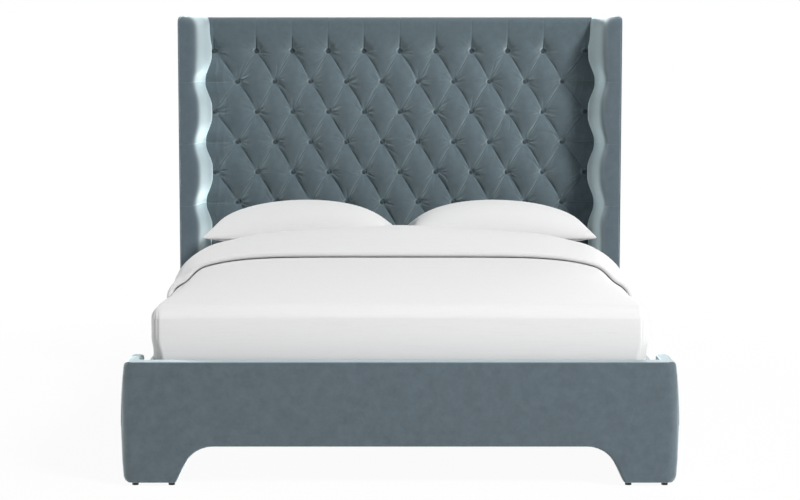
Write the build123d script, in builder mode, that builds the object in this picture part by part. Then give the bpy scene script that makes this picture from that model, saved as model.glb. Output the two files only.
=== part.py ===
"""Upholstered winged bed with a diamond-tufted headboard, made up with bedding.

Lengths are in millimetres. +Z is up, +X is the right-hand side seen from the foot end,
the foot end is at -Y and the headboard at +Y. The origin is on the floor, in the middle.
"""

import math
import os

from build123d import *

os.makedirs("parts", exist_ok=True)

# Height of the headboard, and the overrun of every cut
overall_height = 1480
cut_overrun = 40
fit_gap = 0.3

# Mattress and the height that it lies at
mattress_width = 1524
mattress_length = 2032
mattress_thickness = 290
mattress_corner = 60
mattress_edge = 14
mattress_sunk = 73
mattress_head_gap = 5
mattress_foot_gap = 6

# Headboard frame, from the back cover forward
back_cover_thickness = 3
frame_thickness = 36
backing_thickness = 10
post_width = 56
top_rail_height = 90
middle_rail_height = 90
bottom_rail_height = 200

# Tufted panel of the headboard
button_pitch_x = 147.5
button_pitch_z = 124.4
top_border = 139
tuft_depth = 36
channel_depth = 31
tuft_base = 10
panel_side_gap = 1
plain_padding = 24
top_roll_radius = 30
button_radius = 11
button_rise = 7
button_slope = 30
button_sides = 8
dimple_flare = 14
dimple_sides = 4

# Wings at both sides of the headboard
wing_depth = 290
wing_board_thickness = 30
wing_side_padding = 23
wing_front_padding = 6
wing_corner_radius = 34
wing_inner_swell = 71
wing_pleat_depth = 31
wing_flat_swell = 46
wing_mattress_gap = 3
wing_nose_depth = 95
wing_nose_swell_share = 0.72
wing_nose_place_share = 0.4
welt_radius = 2.4
welt_notch = 5

# Footboard with its end cheeks and arch
footboard_overhang = 28.5
footboard_top_taper = 25
footboard_bottom_taper = 15
footboard_height = 386
footboard_thickness = 62
footboard_padding = 12
footboard_top_corner = 14
footboard_bottom_corner = 24
footboard_edge_radius = 20
cheek_reach = 175
cheek_thickness = 58
cheek_board_thickness = 26
cheek_inner_padding = 6
arch_height = 123
arch_foot_width = 162
arch_lean = 56
arch_radius = 95

# Glides under the footboard and the headboard
glide_radius = 10
glide_height = 13
glide_cheek_inset = 41.5
glide_arch_inset = 16

# Side rails
rail_mattress_gap = 28
rail_thickness = 40
rail_top_z = 323
rail_bottom_z = 123
rail_padding = 8
rail_edge_radius = 9

# Slat base
cleat_width = 30
cleat_height = 30
slat_thickness = 18
slat_width = 70
slat_count = 14
slat_end_gap = 6
slat_edge_radius = 3
beam_width = 60
beam_height = 90
leg_side = 40
leg_place_shares = (0.28, 0.5, 0.72)
leg_foot_radius = 16
leg_foot_height = 12
hanger_thickness = 3
hanger_depth = 40
hanger_flange = 28

# Corner brackets and their bolts
bracket_thickness = 4
bracket_height = 66
bracket_flange = 60
bracket_reach_foot = 220
bracket_reach_head = 120
bolt_radius = 4
bolt_head_radius = 8
bolt_head_sides = 6
bolt_sides = 8
bolt_head_height = 5
bolt_length = 22
bolt_clearance = 0.4
bolt_edge = 18

# Coverlet, duvet turn-down and pillows
coverlet_side = 11
coverlet_front = 10
coverlet_crown = 52
coverlet_shoulder_drop = 70
coverlet_shoulder_in = 75
coverlet_front_radius = 34
coverlet_front_drop = 41
coverlet_hem_gap = 12
coverlet_head_inset = 7
coverlet_roll_share = 0.56
coverlet_bend_in_share = 0.2
coverlet_bend_rise_share = 0.34
coverlet_crown_place_share = 0.5
coverlet_crown_rise_share = 0.72
coverlet_wing_gap = 10
fold_from_head = 910
turn_down_length = 345
turn_down_stand_off = 93
turn_down_drop = 125
turn_down_rise = 91
turn_down_roll_x_share = 0.84
turn_down_roll_z_share = 0.7
turn_down_side_share = 0.78
turn_down_front_share = 0.2
turn_down_crest_share = 0.7
turn_down_bend_place_share = 0.25
turn_down_bend_rise_share = 0.72
turn_down_back_place_share = 0.08
turn_down_back_bend_share = 0.3
turn_down_back_share = 0.7
pillow_inner_half = 27
pillow_side_inset = 7
pillow_depth = 500
pillow_height = 172
pillow_press = 12
pillow_gap = 5
pillow_seam = 10
pillow_seam_rise = 46
pillow_facets = 8

# Overall sizes, from the mattress outwards
headboard_thickness = back_cover_thickness + frame_thickness + backing_thickness + tuft_base + tuft_depth
overall_length = (
    footboard_thickness
    + mattress_foot_gap
    + coverlet_front
    + mattress_length
    + mattress_head_gap
    + headboard_thickness
)
wing_thickness = wing_inner_swell + wing_board_thickness + wing_side_padding
overall_width = mattress_width + 2 * (wing_mattress_gap + wing_thickness)
rail_inner_half = mattress_width / 2 + rail_mattress_gap
rail_outer_half = rail_inner_half + rail_thickness
footboard_width = 2 * (rail_outer_half + footboard_overhang)
footboard_top_width = footboard_width - footboard_top_taper
footboard_bottom_width = footboard_width - footboard_bottom_taper
arch_foot_half = footboard_bottom_width / 2 - arch_foot_width

# Planes and levels worked out from the sizes above
frame_foot_z = glide_height
mattress_base_z = rail_top_z - mattress_sunk
foot_face_y = -overall_length / 2
head_face_y = overall_length / 2
frame_back_y = head_face_y - back_cover_thickness
frame_front_y = frame_back_y - frame_thickness
backing_front_y = frame_front_y - backing_thickness
button_seat_y = backing_front_y - tuft_base
tuft_peak_y = button_seat_y - tuft_depth
wing_front_y = head_face_y - wing_depth
board_outer_x = overall_width / 2 - wing_side_padding
board_inner_x = board_outer_x - wing_board_thickness
wing_padding_x = board_inner_x - wing_inner_swell
panel_half = wing_padding_x - panel_side_gap
panel_base_half = wing_padding_x + wing_pleat_depth - panel_side_gap
row_a_z = overall_height - top_border
mattress_top_z = mattress_base_z + mattress_thickness
button_rows = 1 + math.floor((row_a_z - mattress_top_z) / button_pitch_z)
columns_each_side = math.floor(panel_half / button_pitch_x)
last_row_z = row_a_z - (button_rows - 1) * button_pitch_z
upholstery_foot_z = rail_top_z + coverlet_hem_gap
mattress_back_y = tuft_peak_y - mattress_head_gap
mattress_front_y = mattress_back_y - mattress_length
cheek_end_y = foot_face_y + cheek_reach
footboard_back_y = foot_face_y + footboard_thickness
slat_base_z = mattress_base_z - slat_thickness
coverlet_half = mattress_width / 2 + coverlet_side
coverlet_front_y = mattress_front_y - coverlet_front
coverlet_top_z = mattress_top_z + coverlet_crown
sides = ((-1, "left"), (1, "right"))


def save(piece, name):
    """Label a finished piece and write it to its own file."""
    piece.part.label = name
    export_step(piece.part, f"parts/{name}.step")


def box_between(low, high, mode=Mode.ADD):
    """A box from its lowest to its highest corner."""
    size = [high[i] - low[i] for i in range(len(low))]
    centre = [(high[i] + low[i]) / 2 for i in range(len(low))]
    with Locations(tuple(centre)):
        return Box(*size, mode=mode)


def between(a, b):
    """The lower and the higher of two places, for a piece made on either side."""
    return min(a, b), max(a, b)


# Bolts through the corner brackets: places on the rails and on the end pieces
bracket_top_z = slat_base_z - cleat_height - fit_gap
bracket_bottom_z = bracket_top_z - bracket_height
bracket_face_x = rail_inner_half - bracket_thickness
bolt_levels = (bracket_bottom_z + bolt_edge, bracket_top_z - bolt_edge)
rail_start_y = cheek_end_y + fit_gap
rail_end_y = frame_front_y
bracket_ends = (
    ("foot", footboard_back_y, 1, bracket_reach_foot),
    ("head", frame_front_y, -1, bracket_reach_head),
)
rail_bolt_y = (
    footboard_back_y + bracket_reach_foot - bolt_edge,
    rail_end_y - bracket_reach_head + bolt_edge,
)
flange_bolt_x = bracket_face_x - bracket_flange / 2


def rail_bolt_planes(side):
    """Bolt seats on the inner face of a side rail's brackets, pointing to the bed's middle."""
    return [
        Plane(origin=(side * bracket_face_x, y, z), x_dir=(0, 1, 0), z_dir=(-side, 0, 0))
        for y in rail_bolt_y
        for z in bolt_levels
    ]


def flange_bolt_planes(side):
    """Bolt seats on the flanges against the footboard and the headboard's bottom rail."""
    foot_seat = footboard_back_y + bracket_thickness
    head_seat = frame_front_y - bracket_thickness
    return [
        Plane(origin=(side * flange_bolt_x, y, z), x_dir=(1, 0, 0), z_dir=(0, outward, 0))
        for y, outward in ((foot_seat, 1), (head_seat, -1))
        for z in bolt_levels
    ]


def drill(planes):
    """Holes for the bolts' shanks, a little wider than the shanks."""
    with BuildSketch(*planes, mode=Mode.PRIVATE) as holes:
        RegularPolygon(bolt_radius + bolt_clearance, bolt_sides)
    extrude(to_extrude=holes.sketch, amount=-bolt_length - bolt_clearance, mode=Mode.SUBTRACT)


# Headboard frame: two posts that stand on the floor, three rails and a backing board
for side, side_name in sides:
    post_low_x, post_high_x = between(side * board_inner_x, side * (board_inner_x - post_width))
    with BuildPart() as post:
        box_between(
            (post_low_x, frame_front_y, frame_foot_z),
            (post_high_x, frame_back_y, overall_height - back_cover_thickness),
        )
    save(post, f"headboard_post_{side_name}")

rail_half = board_inner_x - post_width
frame_top_z = overall_height - back_cover_thickness
middle_rail_z = (frame_top_z + upholstery_foot_z - middle_rail_height) / 2
frame_rails = (
    ("headboard_top_rail", frame_top_z - top_rail_height, frame_top_z),
    ("headboard_middle_rail", middle_rail_z, middle_rail_z + middle_rail_height),
    ("headboard_bottom_rail", rail_top_z - bottom_rail_height, rail_top_z),
)
for rail_name, rail_low, rail_high in frame_rails:
    with BuildPart() as frame_rail:
        box_between((-rail_half, frame_front_y, rail_low), (rail_half, frame_back_y, rail_high))
        for side, side_name in sides:
            drill(flange_bolt_planes(side))
    save(frame_rail, rail_name)

with BuildPart() as backing:
    box_between(
        (-board_inner_x, backing_front_y, upholstery_foot_z),
        (board_inner_x, frame_front_y, frame_top_z),
    )
save(backing, "headboard_backing_board")

# Back cover: one sheet down the back and the wings' rear edges, folded over the top of the frame
with BuildPart() as back_cover:
    box_between(
        (-overall_width / 2, frame_back_y, rail_bottom_z), (overall_width / 2, head_face_y, overall_height)
    )
    box_between(
        (-board_inner_x, backing_front_y, frame_top_z), (board_inner_x, frame_back_y, overall_height)
    )
save(back_cover, "headboard_back_cover")


def corrugation(plane, pitch, depth, count, length):
    """A slab whose front is a row of round swells, one pitch wide, run along the plane's normal."""
    with BuildPart(mode=Mode.PRIVATE) as slab:
        with BuildSketch(plane):
            with BuildLine():
                for i in range(-count, count):
                    ThreePointArc(
                        (i * pitch, 0),
                        ((i + 0.5) * pitch, -depth),
                        ((i + 1) * pitch, 0),
                    )
                Polyline(
                    (count * pitch, 0),
                    (count * pitch, tuft_base),
                    (-count * pitch, tuft_base),
                    (-count * pitch, 0),
                )
            make_face()
        extrude(amount=length, both=True)
    return slab.part


# Top of the panel: the pleats run straight up from the first row of buttons to a rolled edge
field_centre = Vector(0, button_seat_y, row_a_z)
upright_plane = Plane(origin=field_centre, x_dir=(1, 0, 0), z_dir=(0, 0, 1))
with BuildPart() as top_channels:
    box_between((-panel_half, tuft_peak_y, row_a_z), (panel_half, backing_front_y, overall_height))
    add(
        corrugation(upright_plane, button_pitch_x, channel_depth, columns_each_side + 1, overall_height),
        mode=Mode.INTERSECT,
    )
    with BuildSketch(Plane.YZ) as roll_section:
        Rectangle(
            overall_length,
            2 * overall_height,
            align=(Align.CENTER, Align.CENTER),
        )
        with Locations((tuft_peak_y, overall_height)):
            Rectangle(2 * top_roll_radius, 2 * top_roll_radius, mode=Mode.SUBTRACT)
        with Locations((tuft_peak_y + top_roll_radius, overall_height - top_roll_radius)):
            Circle(top_roll_radius)
    extrude(amount=overall_width, both=True, mode=Mode.INTERSECT)

# Places of the buttons: at the crossings of the pleats, staggered from row to row
button_places = []
for row in range(button_rows):
    stagger = (row % 2) / 2
    for column in range(-columns_each_side, columns_each_side + 1):
        button_x = (column + stagger) * button_pitch_x
        if abs(button_x) < panel_half - button_radius:
            button_place = (button_x, button_seat_y, row_a_z - row * button_pitch_z)
            button_places.append(Plane(origin=button_place, x_dir=(1, 0, 0), z_dir=(0, -1, 0)))

# Tufted panel: two runs of swells cross on the slant and leave the diamonds between their pleats
slant = Vector(button_pitch_x / 2, 0, button_pitch_z)
slant_pitch = button_pitch_x * button_pitch_z / slant.length
slant_count = math.ceil((panel_half + row_a_z - last_row_z) / slant_pitch)
with BuildPart() as tufted_panel:
    box_between((-panel_half, tuft_peak_y, last_row_z), (panel_half, backing_front_y, row_a_z))
    for lean in (1, -1):
        pleat_plane = Plane(
            origin=field_centre,
            x_dir=(button_pitch_z, 0, -lean * button_pitch_x / 2),
            z_dir=(lean * button_pitch_x / 2, 0, button_pitch_z),
        )
        slanted = corrugation(pleat_plane, slant_pitch, tuft_depth, slant_count, overall_height)
        add(slanted, mode=Mode.INTERSECT)
    add(top_channels.part)
    # Plain padding below the last row, and the thin margins under the wings' padding
    box_between(
        (-panel_half, backing_front_y - plain_padding, upholstery_foot_z),
        (panel_half, backing_front_y, last_row_z),
    )
    for side, side_name in sides:
        margin_low_x, margin_high_x = between(side * panel_half, side * panel_base_half)
        box_between(
            (margin_low_x, button_seat_y, upholstery_foot_z),
            (margin_high_x, backing_front_y, overall_height - top_roll_radius),
        )
    # Each button lies at the bottom of a dimple that widens outwards
    with BuildSketch(*button_places):
        RegularPolygon(button_radius + fit_gap, dimple_sides, major_radius=False)
    extrude(amount=tuft_depth, taper=-dimple_flare, mode=Mode.SUBTRACT)
save(tufted_panel, "headboard_tufted_panel")

# Buttons, each with a sloping rim
with BuildPart() as buttons:
    with BuildSketch(*button_places):
        RegularPolygon(button_radius, button_sides)
    extrude(amount=button_rise, taper=button_slope)
save(buttons, "tufting_buttons")


def wing_profile(inset, place_x):
    """Side view of a wing at a place along X: upright, with its front top corner rounded."""
    with BuildSketch(Plane.YZ.offset(place_x), mode=Mode.PRIVATE) as profile:
        with BuildLine():
            Polyline(
                (wing_front_y + inset, frame_foot_z),
                (frame_back_y, frame_foot_z),
                (frame_back_y, overall_height - inset),
                (wing_front_y + inset, overall_height - inset),
                close=True,
            )
        make_face()
        corner = profile.vertices().group_by(Axis.Y)[-1].sort_by(Axis.X)[0]
        fillet(corner, radius=wing_corner_radius - inset)
    return profile.sketch


pleat_rows_z = [row_a_z - row * button_pitch_z for row in range(1, button_rows, 2)]
for side, side_name in sides:
    # Wing board, a flat panel on the outer face of the post
    board_low_x, board_high_x = between(side * board_inner_x, side * board_outer_x)
    cover_low_x, cover_high_x = between(side * board_inner_x, side * overall_width / 2)
    with BuildPart() as wing_board:
        board_profile = wing_profile(wing_front_padding, board_low_x)
        extrude(to_extrude=board_profile, amount=board_high_x - board_low_x)
    save(wing_board, f"wing_board_{side_name}")

    # Outer cover: padded side with a flat front strip, and a notch for the welt along its edge
    with BuildPart() as wing_cover:
        extrude(to_extrude=wing_profile(0, cover_low_x), amount=cover_high_x - cover_low_x)
        add(wing_board.part, mode=Mode.SUBTRACT)
        notch_low_x, notch_high_x = between(
            side * (overall_width / 2 - welt_notch), side * (overall_width / 2 + cut_overrun)
        )
        box_between(
            (notch_low_x, wing_front_y - cut_overrun, frame_foot_z - cut_overrun),
            (notch_high_x, wing_front_y + welt_notch, overall_height - wing_corner_radius),
            mode=Mode.SUBTRACT,
        )
    save(wing_cover, f"wing_outer_cover_{side_name}")

    # Welt: a covered cord up the outer front edge
    with BuildPart() as welt:
        with BuildSketch(Plane.XY.offset(frame_foot_z)):
            with Locations((side * (overall_width / 2 - welt_notch / 2), wing_front_y + welt_notch / 2)):
                Circle(welt_radius)
        extrude(amount=overall_height - wing_corner_radius - frame_foot_z)
    save(welt, f"wing_welt_{side_name}")

    # Inner padding: swells between the pleats that run on from the panel's even rows
    padding_top_z = overall_height - fit_gap
    flat_x = side * (board_inner_x - wing_flat_swell)
    swell_x = side * wing_padding_x
    pleat_x = side * (wing_padding_x + wing_pleat_depth)
    back_x = side * board_inner_x
    with BuildPart() as wing_padding:
        with BuildSketch(Plane.XZ):
            with BuildLine():
                Line((back_x, upholstery_foot_z), (back_x, padding_top_z))
                Line((back_x, padding_top_z), (pleat_x, padding_top_z))
                ThreePointArc(
                    (pleat_x, padding_top_z),
                    (swell_x, (padding_top_z + pleat_rows_z[0]) / 2),
                    (pleat_x, pleat_rows_z[0]),
                )
                for upper_z, lower_z in zip(pleat_rows_z, pleat_rows_z[1:]):
                    middle_z = (upper_z + lower_z) / 2
                    ThreePointArc((pleat_x, upper_z), (swell_x, middle_z), (pleat_x, lower_z))
                Line((pleat_x, pleat_rows_z[-1]), (flat_x, pleat_rows_z[-1] - button_pitch_z))
                Line((flat_x, pleat_rows_z[-1] - button_pitch_z), (flat_x, upholstery_foot_z))
                Line((flat_x, upholstery_foot_z), (back_x, upholstery_foot_z))
            make_face()
        extrude(amount=overall_length, both=True)
        with BuildSketch(Plane.XY):
            with BuildLine():
                Line((back_x, button_seat_y), (back_x, wing_front_y + wing_front_padding))
                ThreePointArc(
                    (back_x, wing_front_y + wing_front_padding),
                    (
                        side * (board_inner_x - wing_inner_swell * wing_nose_swell_share),
                        wing_front_y + wing_front_padding + wing_nose_depth * wing_nose_place_share,
                    ),
                    (swell_x, wing_front_y + wing_front_padding + wing_nose_depth),
                )
                Line((swell_x, wing_front_y + wing_front_padding + wing_nose_depth), (swell_x, button_seat_y))
                Line((swell_x, button_seat_y), (back_x, button_seat_y))
            make_face()
        extrude(amount=overall_height, mode=Mode.INTERSECT)
    save(wing_padding, f"wing_padding_{side_name}")

# Glides under both wing boards
with BuildPart() as headboard_glides:
    glide_y_places = (wing_front_y + wing_board_thickness, frame_back_y - wing_board_thickness)
    glide_x_place = (board_inner_x + board_outer_x) / 2
    with Locations(*[(side * glide_x_place, y, 0) for side, side_name in sides for y in glide_y_places]):
        Cylinder(glide_radius, glide_height, align=(Align.CENTER, Align.CENTER, Align.MIN))
save(headboard_glides, "headboard_glides")


def footboard_front(inset, height):
    """Front view of the footboard: bowed ends, rounded corners and the arch between its feet."""
    top_half = footboard_top_width / 2 - inset
    middle_half = footboard_width / 2 - inset
    bottom_half = footboard_bottom_width / 2 - inset
    arch_top = arch_height + inset
    arch_half_foot = arch_foot_half + inset
    with BuildSketch(Plane.XZ, mode=Mode.PRIVATE) as front:
        with BuildLine():
            ThreePointArc(
                (bottom_half, frame_foot_z),
                (middle_half, (height + frame_foot_z) / 2),
                (top_half, height),
            )
            Line((top_half, height), (-top_half, height))
            ThreePointArc(
                (-top_half, height),
                (-middle_half, (height + frame_foot_z) / 2),
                (-bottom_half, frame_foot_z),
            )
            Polyline(
                (-bottom_half, frame_foot_z),
                (-arch_half_foot, frame_foot_z),
                (-arch_half_foot + arch_lean, arch_top),
                (arch_half_foot - arch_lean, arch_top),
                (arch_half_foot, frame_foot_z),
                (bottom_half, frame_foot_z),
            )
        make_face()
        by_height = front.vertices().group_by(Axis.Y)
        fillet(by_height[1], radius=arch_radius)
        fillet(front.vertices().group_by(Axis.Y)[-1], radius=footboard_top_corner)
        if inset == 0:
            feet = front.vertices().group_by(Axis.Y)[0].sort_by(Axis.X)
            fillet([feet[0], feet[-1]], radius=footboard_bottom_corner)
    return front.sketch


board_front_y = foot_face_y + footboard_padding
board_thickness = footboard_thickness - 2 * footboard_padding
board_top_z = footboard_height - footboard_padding
cheek_board_inner_x = footboard_width / 2 - cheek_thickness + cheek_inner_padding
cheek_board_outer_x = cheek_board_inner_x + cheek_board_thickness
cheek_board_back_y = cheek_end_y - footboard_padding
board_back_y = board_front_y + board_thickness

# Footboard board, cut to the arch
with BuildPart() as footboard_board:
    extrude(to_extrude=footboard_front(footboard_padding, board_top_z), amount=overall_length, both=True)
    box_between(
        (-overall_width, board_front_y, 0),
        (overall_width, board_back_y, overall_height),
        mode=Mode.INTERSECT,
    )
    for side, side_name in sides:
        drill(flange_bolt_planes(side))
save(footboard_board, "footboard_board")

# Cheek boards run back from both ends of the footboard
for side, side_name in sides:
    cheek_low_x, cheek_high_x = between(side * cheek_board_inner_x, side * cheek_board_outer_x)
    with BuildPart() as cheek_board:
        box_between(
            (cheek_low_x, board_back_y, frame_foot_z),
            (cheek_high_x, cheek_board_back_y, board_top_z),
        )
    save(cheek_board, f"footboard_cheek_board_{side_name}")

# Footboard cover: padding and cloth round the board and the cheeks, open underneath
with BuildPart() as footboard_cover:
    extrude(to_extrude=footboard_front(0, footboard_height), amount=overall_length, both=True)
    with BuildSketch(Plane.XY) as plan:
        plan_half = footboard_width / 2
        cheek_inner_half = plan_half - cheek_thickness
        with BuildLine():
            Polyline(
                (-plan_half, foot_face_y),
                (plan_half, foot_face_y),
                (plan_half, cheek_end_y),
                (cheek_inner_half, cheek_end_y),
                (cheek_inner_half, footboard_back_y),
                (-cheek_inner_half, footboard_back_y),
                (-cheek_inner_half, cheek_end_y),
                (-plan_half, cheek_end_y),
                close=True,
            )
        make_face()
        rounded = plan.vertices().group_by(Axis.Y)
        fillet(rounded[0] + rounded[-1], radius=footboard_edge_radius)
    extrude(amount=overall_height, mode=Mode.INTERSECT)
    extrude(
        to_extrude=footboard_front(footboard_padding, board_top_z).moved(Location((0, board_back_y, 0))),
        amount=board_thickness,
        mode=Mode.SUBTRACT,
    )
    for side, side_name in sides:
        drill(flange_bolt_planes(side))
        cheek_low_x, cheek_high_x = between(side * cheek_board_inner_x, side * cheek_board_outer_x)
        box_between(
            (cheek_low_x, board_back_y, 0),
            (cheek_high_x, cheek_board_back_y, board_top_z),
            mode=Mode.SUBTRACT,
        )
save(footboard_cover, "footboard_cover")

# Glides under the feet of the footboard
with BuildPart() as footboard_glides:
    board_middle_y = (board_front_y + board_back_y) / 2
    glide_places = [
        (side * x, board_middle_y, 0)
        for side, side_name in sides
        for x in (footboard_width / 2 - glide_cheek_inset, arch_foot_half + glide_arch_inset)
    ]
    with Locations(*glide_places):
        Cylinder(glide_radius, glide_height, align=(Align.CENTER, Align.CENTER, Align.MIN))
save(footboard_glides, "footboard_glides")

# Side rails: a board with padding and cloth over it, a cleat inside, open below
for side, side_name in sides:
    board_low_x, board_high_x = between(
        side * (rail_inner_half + rail_padding), side * (rail_outer_half - rail_padding)
    )
    with BuildPart() as rail_board:
        box_between(
            (board_low_x, rail_start_y, rail_bottom_z),
            (board_high_x, rail_end_y, rail_top_z - rail_padding),
        )
        drill(rail_bolt_planes(side))
    save(rail_board, f"side_rail_board_{side_name}")

    cover_low_x, cover_high_x = between(side * rail_inner_half, side * rail_outer_half)
    with BuildPart() as rail_cover:
        with BuildSketch(Plane.XZ):
            with BuildLine():
                Polyline(
                    (cover_low_x, rail_bottom_z),
                    (cover_high_x, rail_bottom_z),
                    (cover_high_x, rail_top_z),
                    (cover_low_x, rail_top_z),
                    close=True,
                )
            make_face()
        extrude(amount=overall_length, both=True)
        box_between(
            (-overall_width, rail_start_y, 0),
            (overall_width, rail_end_y, overall_height),
            mode=Mode.INTERSECT,
        )
        fillet(rail_cover.edges().filter_by(Axis.Y).group_by(Axis.Z)[-1], radius=rail_edge_radius)
        box_between(
            (board_low_x, rail_start_y, 0),
            (board_high_x, rail_end_y, rail_top_z - rail_padding),
            mode=Mode.SUBTRACT,
        )
        drill(rail_bolt_planes(side))
    save(rail_cover, f"side_rail_cover_{side_name}")

    cleat_low_x, cleat_high_x = between(side * (rail_inner_half - cleat_width), side * rail_inner_half)
    with BuildPart() as cleat:
        box_between(
            (cleat_low_x, footboard_back_y, slat_base_z - cleat_height),
            (cleat_high_x, rail_end_y, slat_base_z),
        )
    save(cleat, f"slat_cleat_{side_name}")

    # Angle brackets join the rail to the footboard and to the headboard
    for end_name, end_y, outward, reach in bracket_ends:
        leg_low_y, leg_high_y = between(end_y, end_y + outward * reach)
        flange_low_y, flange_high_y = between(end_y, end_y + outward * bracket_thickness)
        plate_low_x, plate_high_x = between(side * bracket_face_x, side * rail_inner_half)
        flange_low_x, flange_high_x = between(
            side * (bracket_face_x - bracket_flange), side * rail_inner_half
        )
        with BuildPart() as bracket:
            box_between(
                (plate_low_x, leg_low_y, bracket_bottom_z), (plate_high_x, leg_high_y, bracket_top_z)
            )
            box_between(
                (flange_low_x, flange_low_y, bracket_bottom_z),
                (flange_high_x, flange_high_y, bracket_top_z),
            )
            drill(rail_bolt_planes(side))
            drill(flange_bolt_planes(side))
        save(bracket, f"corner_bracket_{end_name}_{side_name}")

# Bolts of the corner brackets, head and shank in one
with BuildPart() as bolts:
    for side, side_name in sides:
        for seat in rail_bolt_planes(side) + flange_bolt_planes(side):
            with BuildSketch(seat):
                RegularPolygon(bolt_head_radius, bolt_head_sides)
            extrude(amount=bolt_head_height)
            with BuildSketch(seat):
                RegularPolygon(bolt_radius, bolt_sides)
            extrude(amount=-bolt_length)
save(bolts, "bracket_bolts")

# Centre beam, its two hangers and its three legs
beam_top_z = slat_base_z
beam_bottom_z = beam_top_z - beam_height
with BuildPart() as centre_beam:
    box_between(
        (-beam_width / 2, footboard_back_y + hanger_thickness + fit_gap, beam_bottom_z),
        (beam_width / 2, frame_front_y - hanger_thickness - fit_gap, beam_top_z),
    )
save(centre_beam, "centre_beam")

for end_name, end_y, outward in (("foot", footboard_back_y, 1), ("head", frame_front_y, -1)):
    hanger_half = beam_width / 2 + hanger_thickness + fit_gap
    plate_low_y, plate_high_y = between(end_y, end_y + outward * hanger_thickness)
    pocket_low_y, pocket_high_y = between(end_y, end_y + outward * hanger_depth)
    hanger_bottom_z = beam_bottom_z - hanger_thickness
    with BuildPart() as hanger:
        box_between(
            (-hanger_half - hanger_flange, plate_low_y, hanger_bottom_z),
            (hanger_half + hanger_flange, plate_high_y, beam_top_z - fit_gap),
        )
        box_between(
            (-hanger_half, pocket_low_y, hanger_bottom_z),
            (hanger_half, pocket_high_y, beam_top_z - fit_gap),
        )
        cut_low_y, cut_high_y = between(
            end_y + outward * hanger_thickness, end_y + outward * (hanger_depth + cut_overrun)
        )
        box_between(
            (-beam_width / 2 - fit_gap, cut_low_y, beam_bottom_z),
            (beam_width / 2 + fit_gap, cut_high_y, beam_top_z + cut_overrun),
            mode=Mode.SUBTRACT,
        )
    save(hanger, f"beam_hanger_{end_name}")

beam_span = frame_front_y - footboard_back_y
leg_places_y = [footboard_back_y + beam_span * place_share for place_share in leg_place_shares]
for i, leg_y in enumerate(leg_places_y):
    with BuildPart() as leg:
        box_between(
            (-leg_side / 2, leg_y - leg_side / 2, leg_foot_height),
            (leg_side / 2, leg_y + leg_side / 2, beam_bottom_z),
        )
        chamfer(leg.edges().filter_by(Axis.Z), length=slat_edge_radius)
    save(leg, f"centre_leg_{i + 1}")

with BuildPart() as leg_feet:
    with Locations(*[(0, leg_y, 0) for leg_y in leg_places_y]):
        Cylinder(leg_foot_radius, leg_foot_height, align=(Align.CENTER, Align.CENTER, Align.MIN))
save(leg_feet, "centre_leg_feet")

# Slats lie across the cleats and the centre beam
slat_half = rail_inner_half - slat_end_gap
slat_first_y = footboard_back_y + slat_width
slat_last_y = frame_front_y - slat_width
slat_step = (slat_last_y - slat_first_y) / (slat_count - 1)
for i in range(slat_count):
    slat_y = slat_first_y + i * slat_step
    with BuildPart() as slat:
        box_between(
            (-slat_half, slat_y - slat_width / 2, slat_base_z),
            (slat_half, slat_y + slat_width / 2, mattress_base_z),
        )
        chamfer(slat.edges().filter_by(Axis.X).group_by(Axis.Z)[-1], length=slat_edge_radius)
    save(slat, f"slat_{i + 1:02d}")


def mattress_plan(grow):
    """Top view of the mattress, larger by a gap where a cover goes round it."""
    with BuildSketch(Plane.XY.offset(mattress_base_z), mode=Mode.PRIVATE) as plan_view:
        with Locations((0, (mattress_front_y + mattress_back_y) / 2)):
            RectangleRounded(
                mattress_width + 2 * grow, mattress_length + 2 * grow, mattress_corner + grow
            )
    return plan_view.sketch


# Mattress
with BuildPart() as mattress:
    add(mattress_plan(0))
    extrude(amount=mattress_thickness)
    chamfer(mattress.faces().sort_by(Axis.Z)[-1].edges(), length=mattress_edge)
    chamfer(mattress.faces().sort_by(Axis.Z)[0].edges(), length=mattress_edge)
save(mattress, "mattress")


def coverlet_section(grow):
    """Front view of the made-up top: crowned, with soft shoulders and straight hanging sides."""
    half = coverlet_half + grow
    top = coverlet_top_z + grow
    shoulder_z = top - coverlet_shoulder_drop
    shoulder_x = half - coverlet_shoulder_in
    roll_z = shoulder_z + coverlet_shoulder_drop * coverlet_roll_share
    bend_x = half - coverlet_shoulder_in * coverlet_bend_in_share
    bend_z = shoulder_z + coverlet_shoulder_drop * coverlet_bend_rise_share
    with BuildSketch(Plane.XZ, mode=Mode.PRIVATE) as section:
        with BuildLine():
            Line((-half, 0), (half, 0))
            for outward in (1, -1):
                Line((outward * half, 0), (outward * half, shoulder_z))
                ThreePointArc(
                    (outward * half, shoulder_z),
                    (outward * bend_x, bend_z),
                    (outward * shoulder_x, roll_z),
                )
            ThreePointArc((shoulder_x, roll_z), (0, top), (-shoulder_x, roll_z))
        make_face()
    return section.sketch


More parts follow.
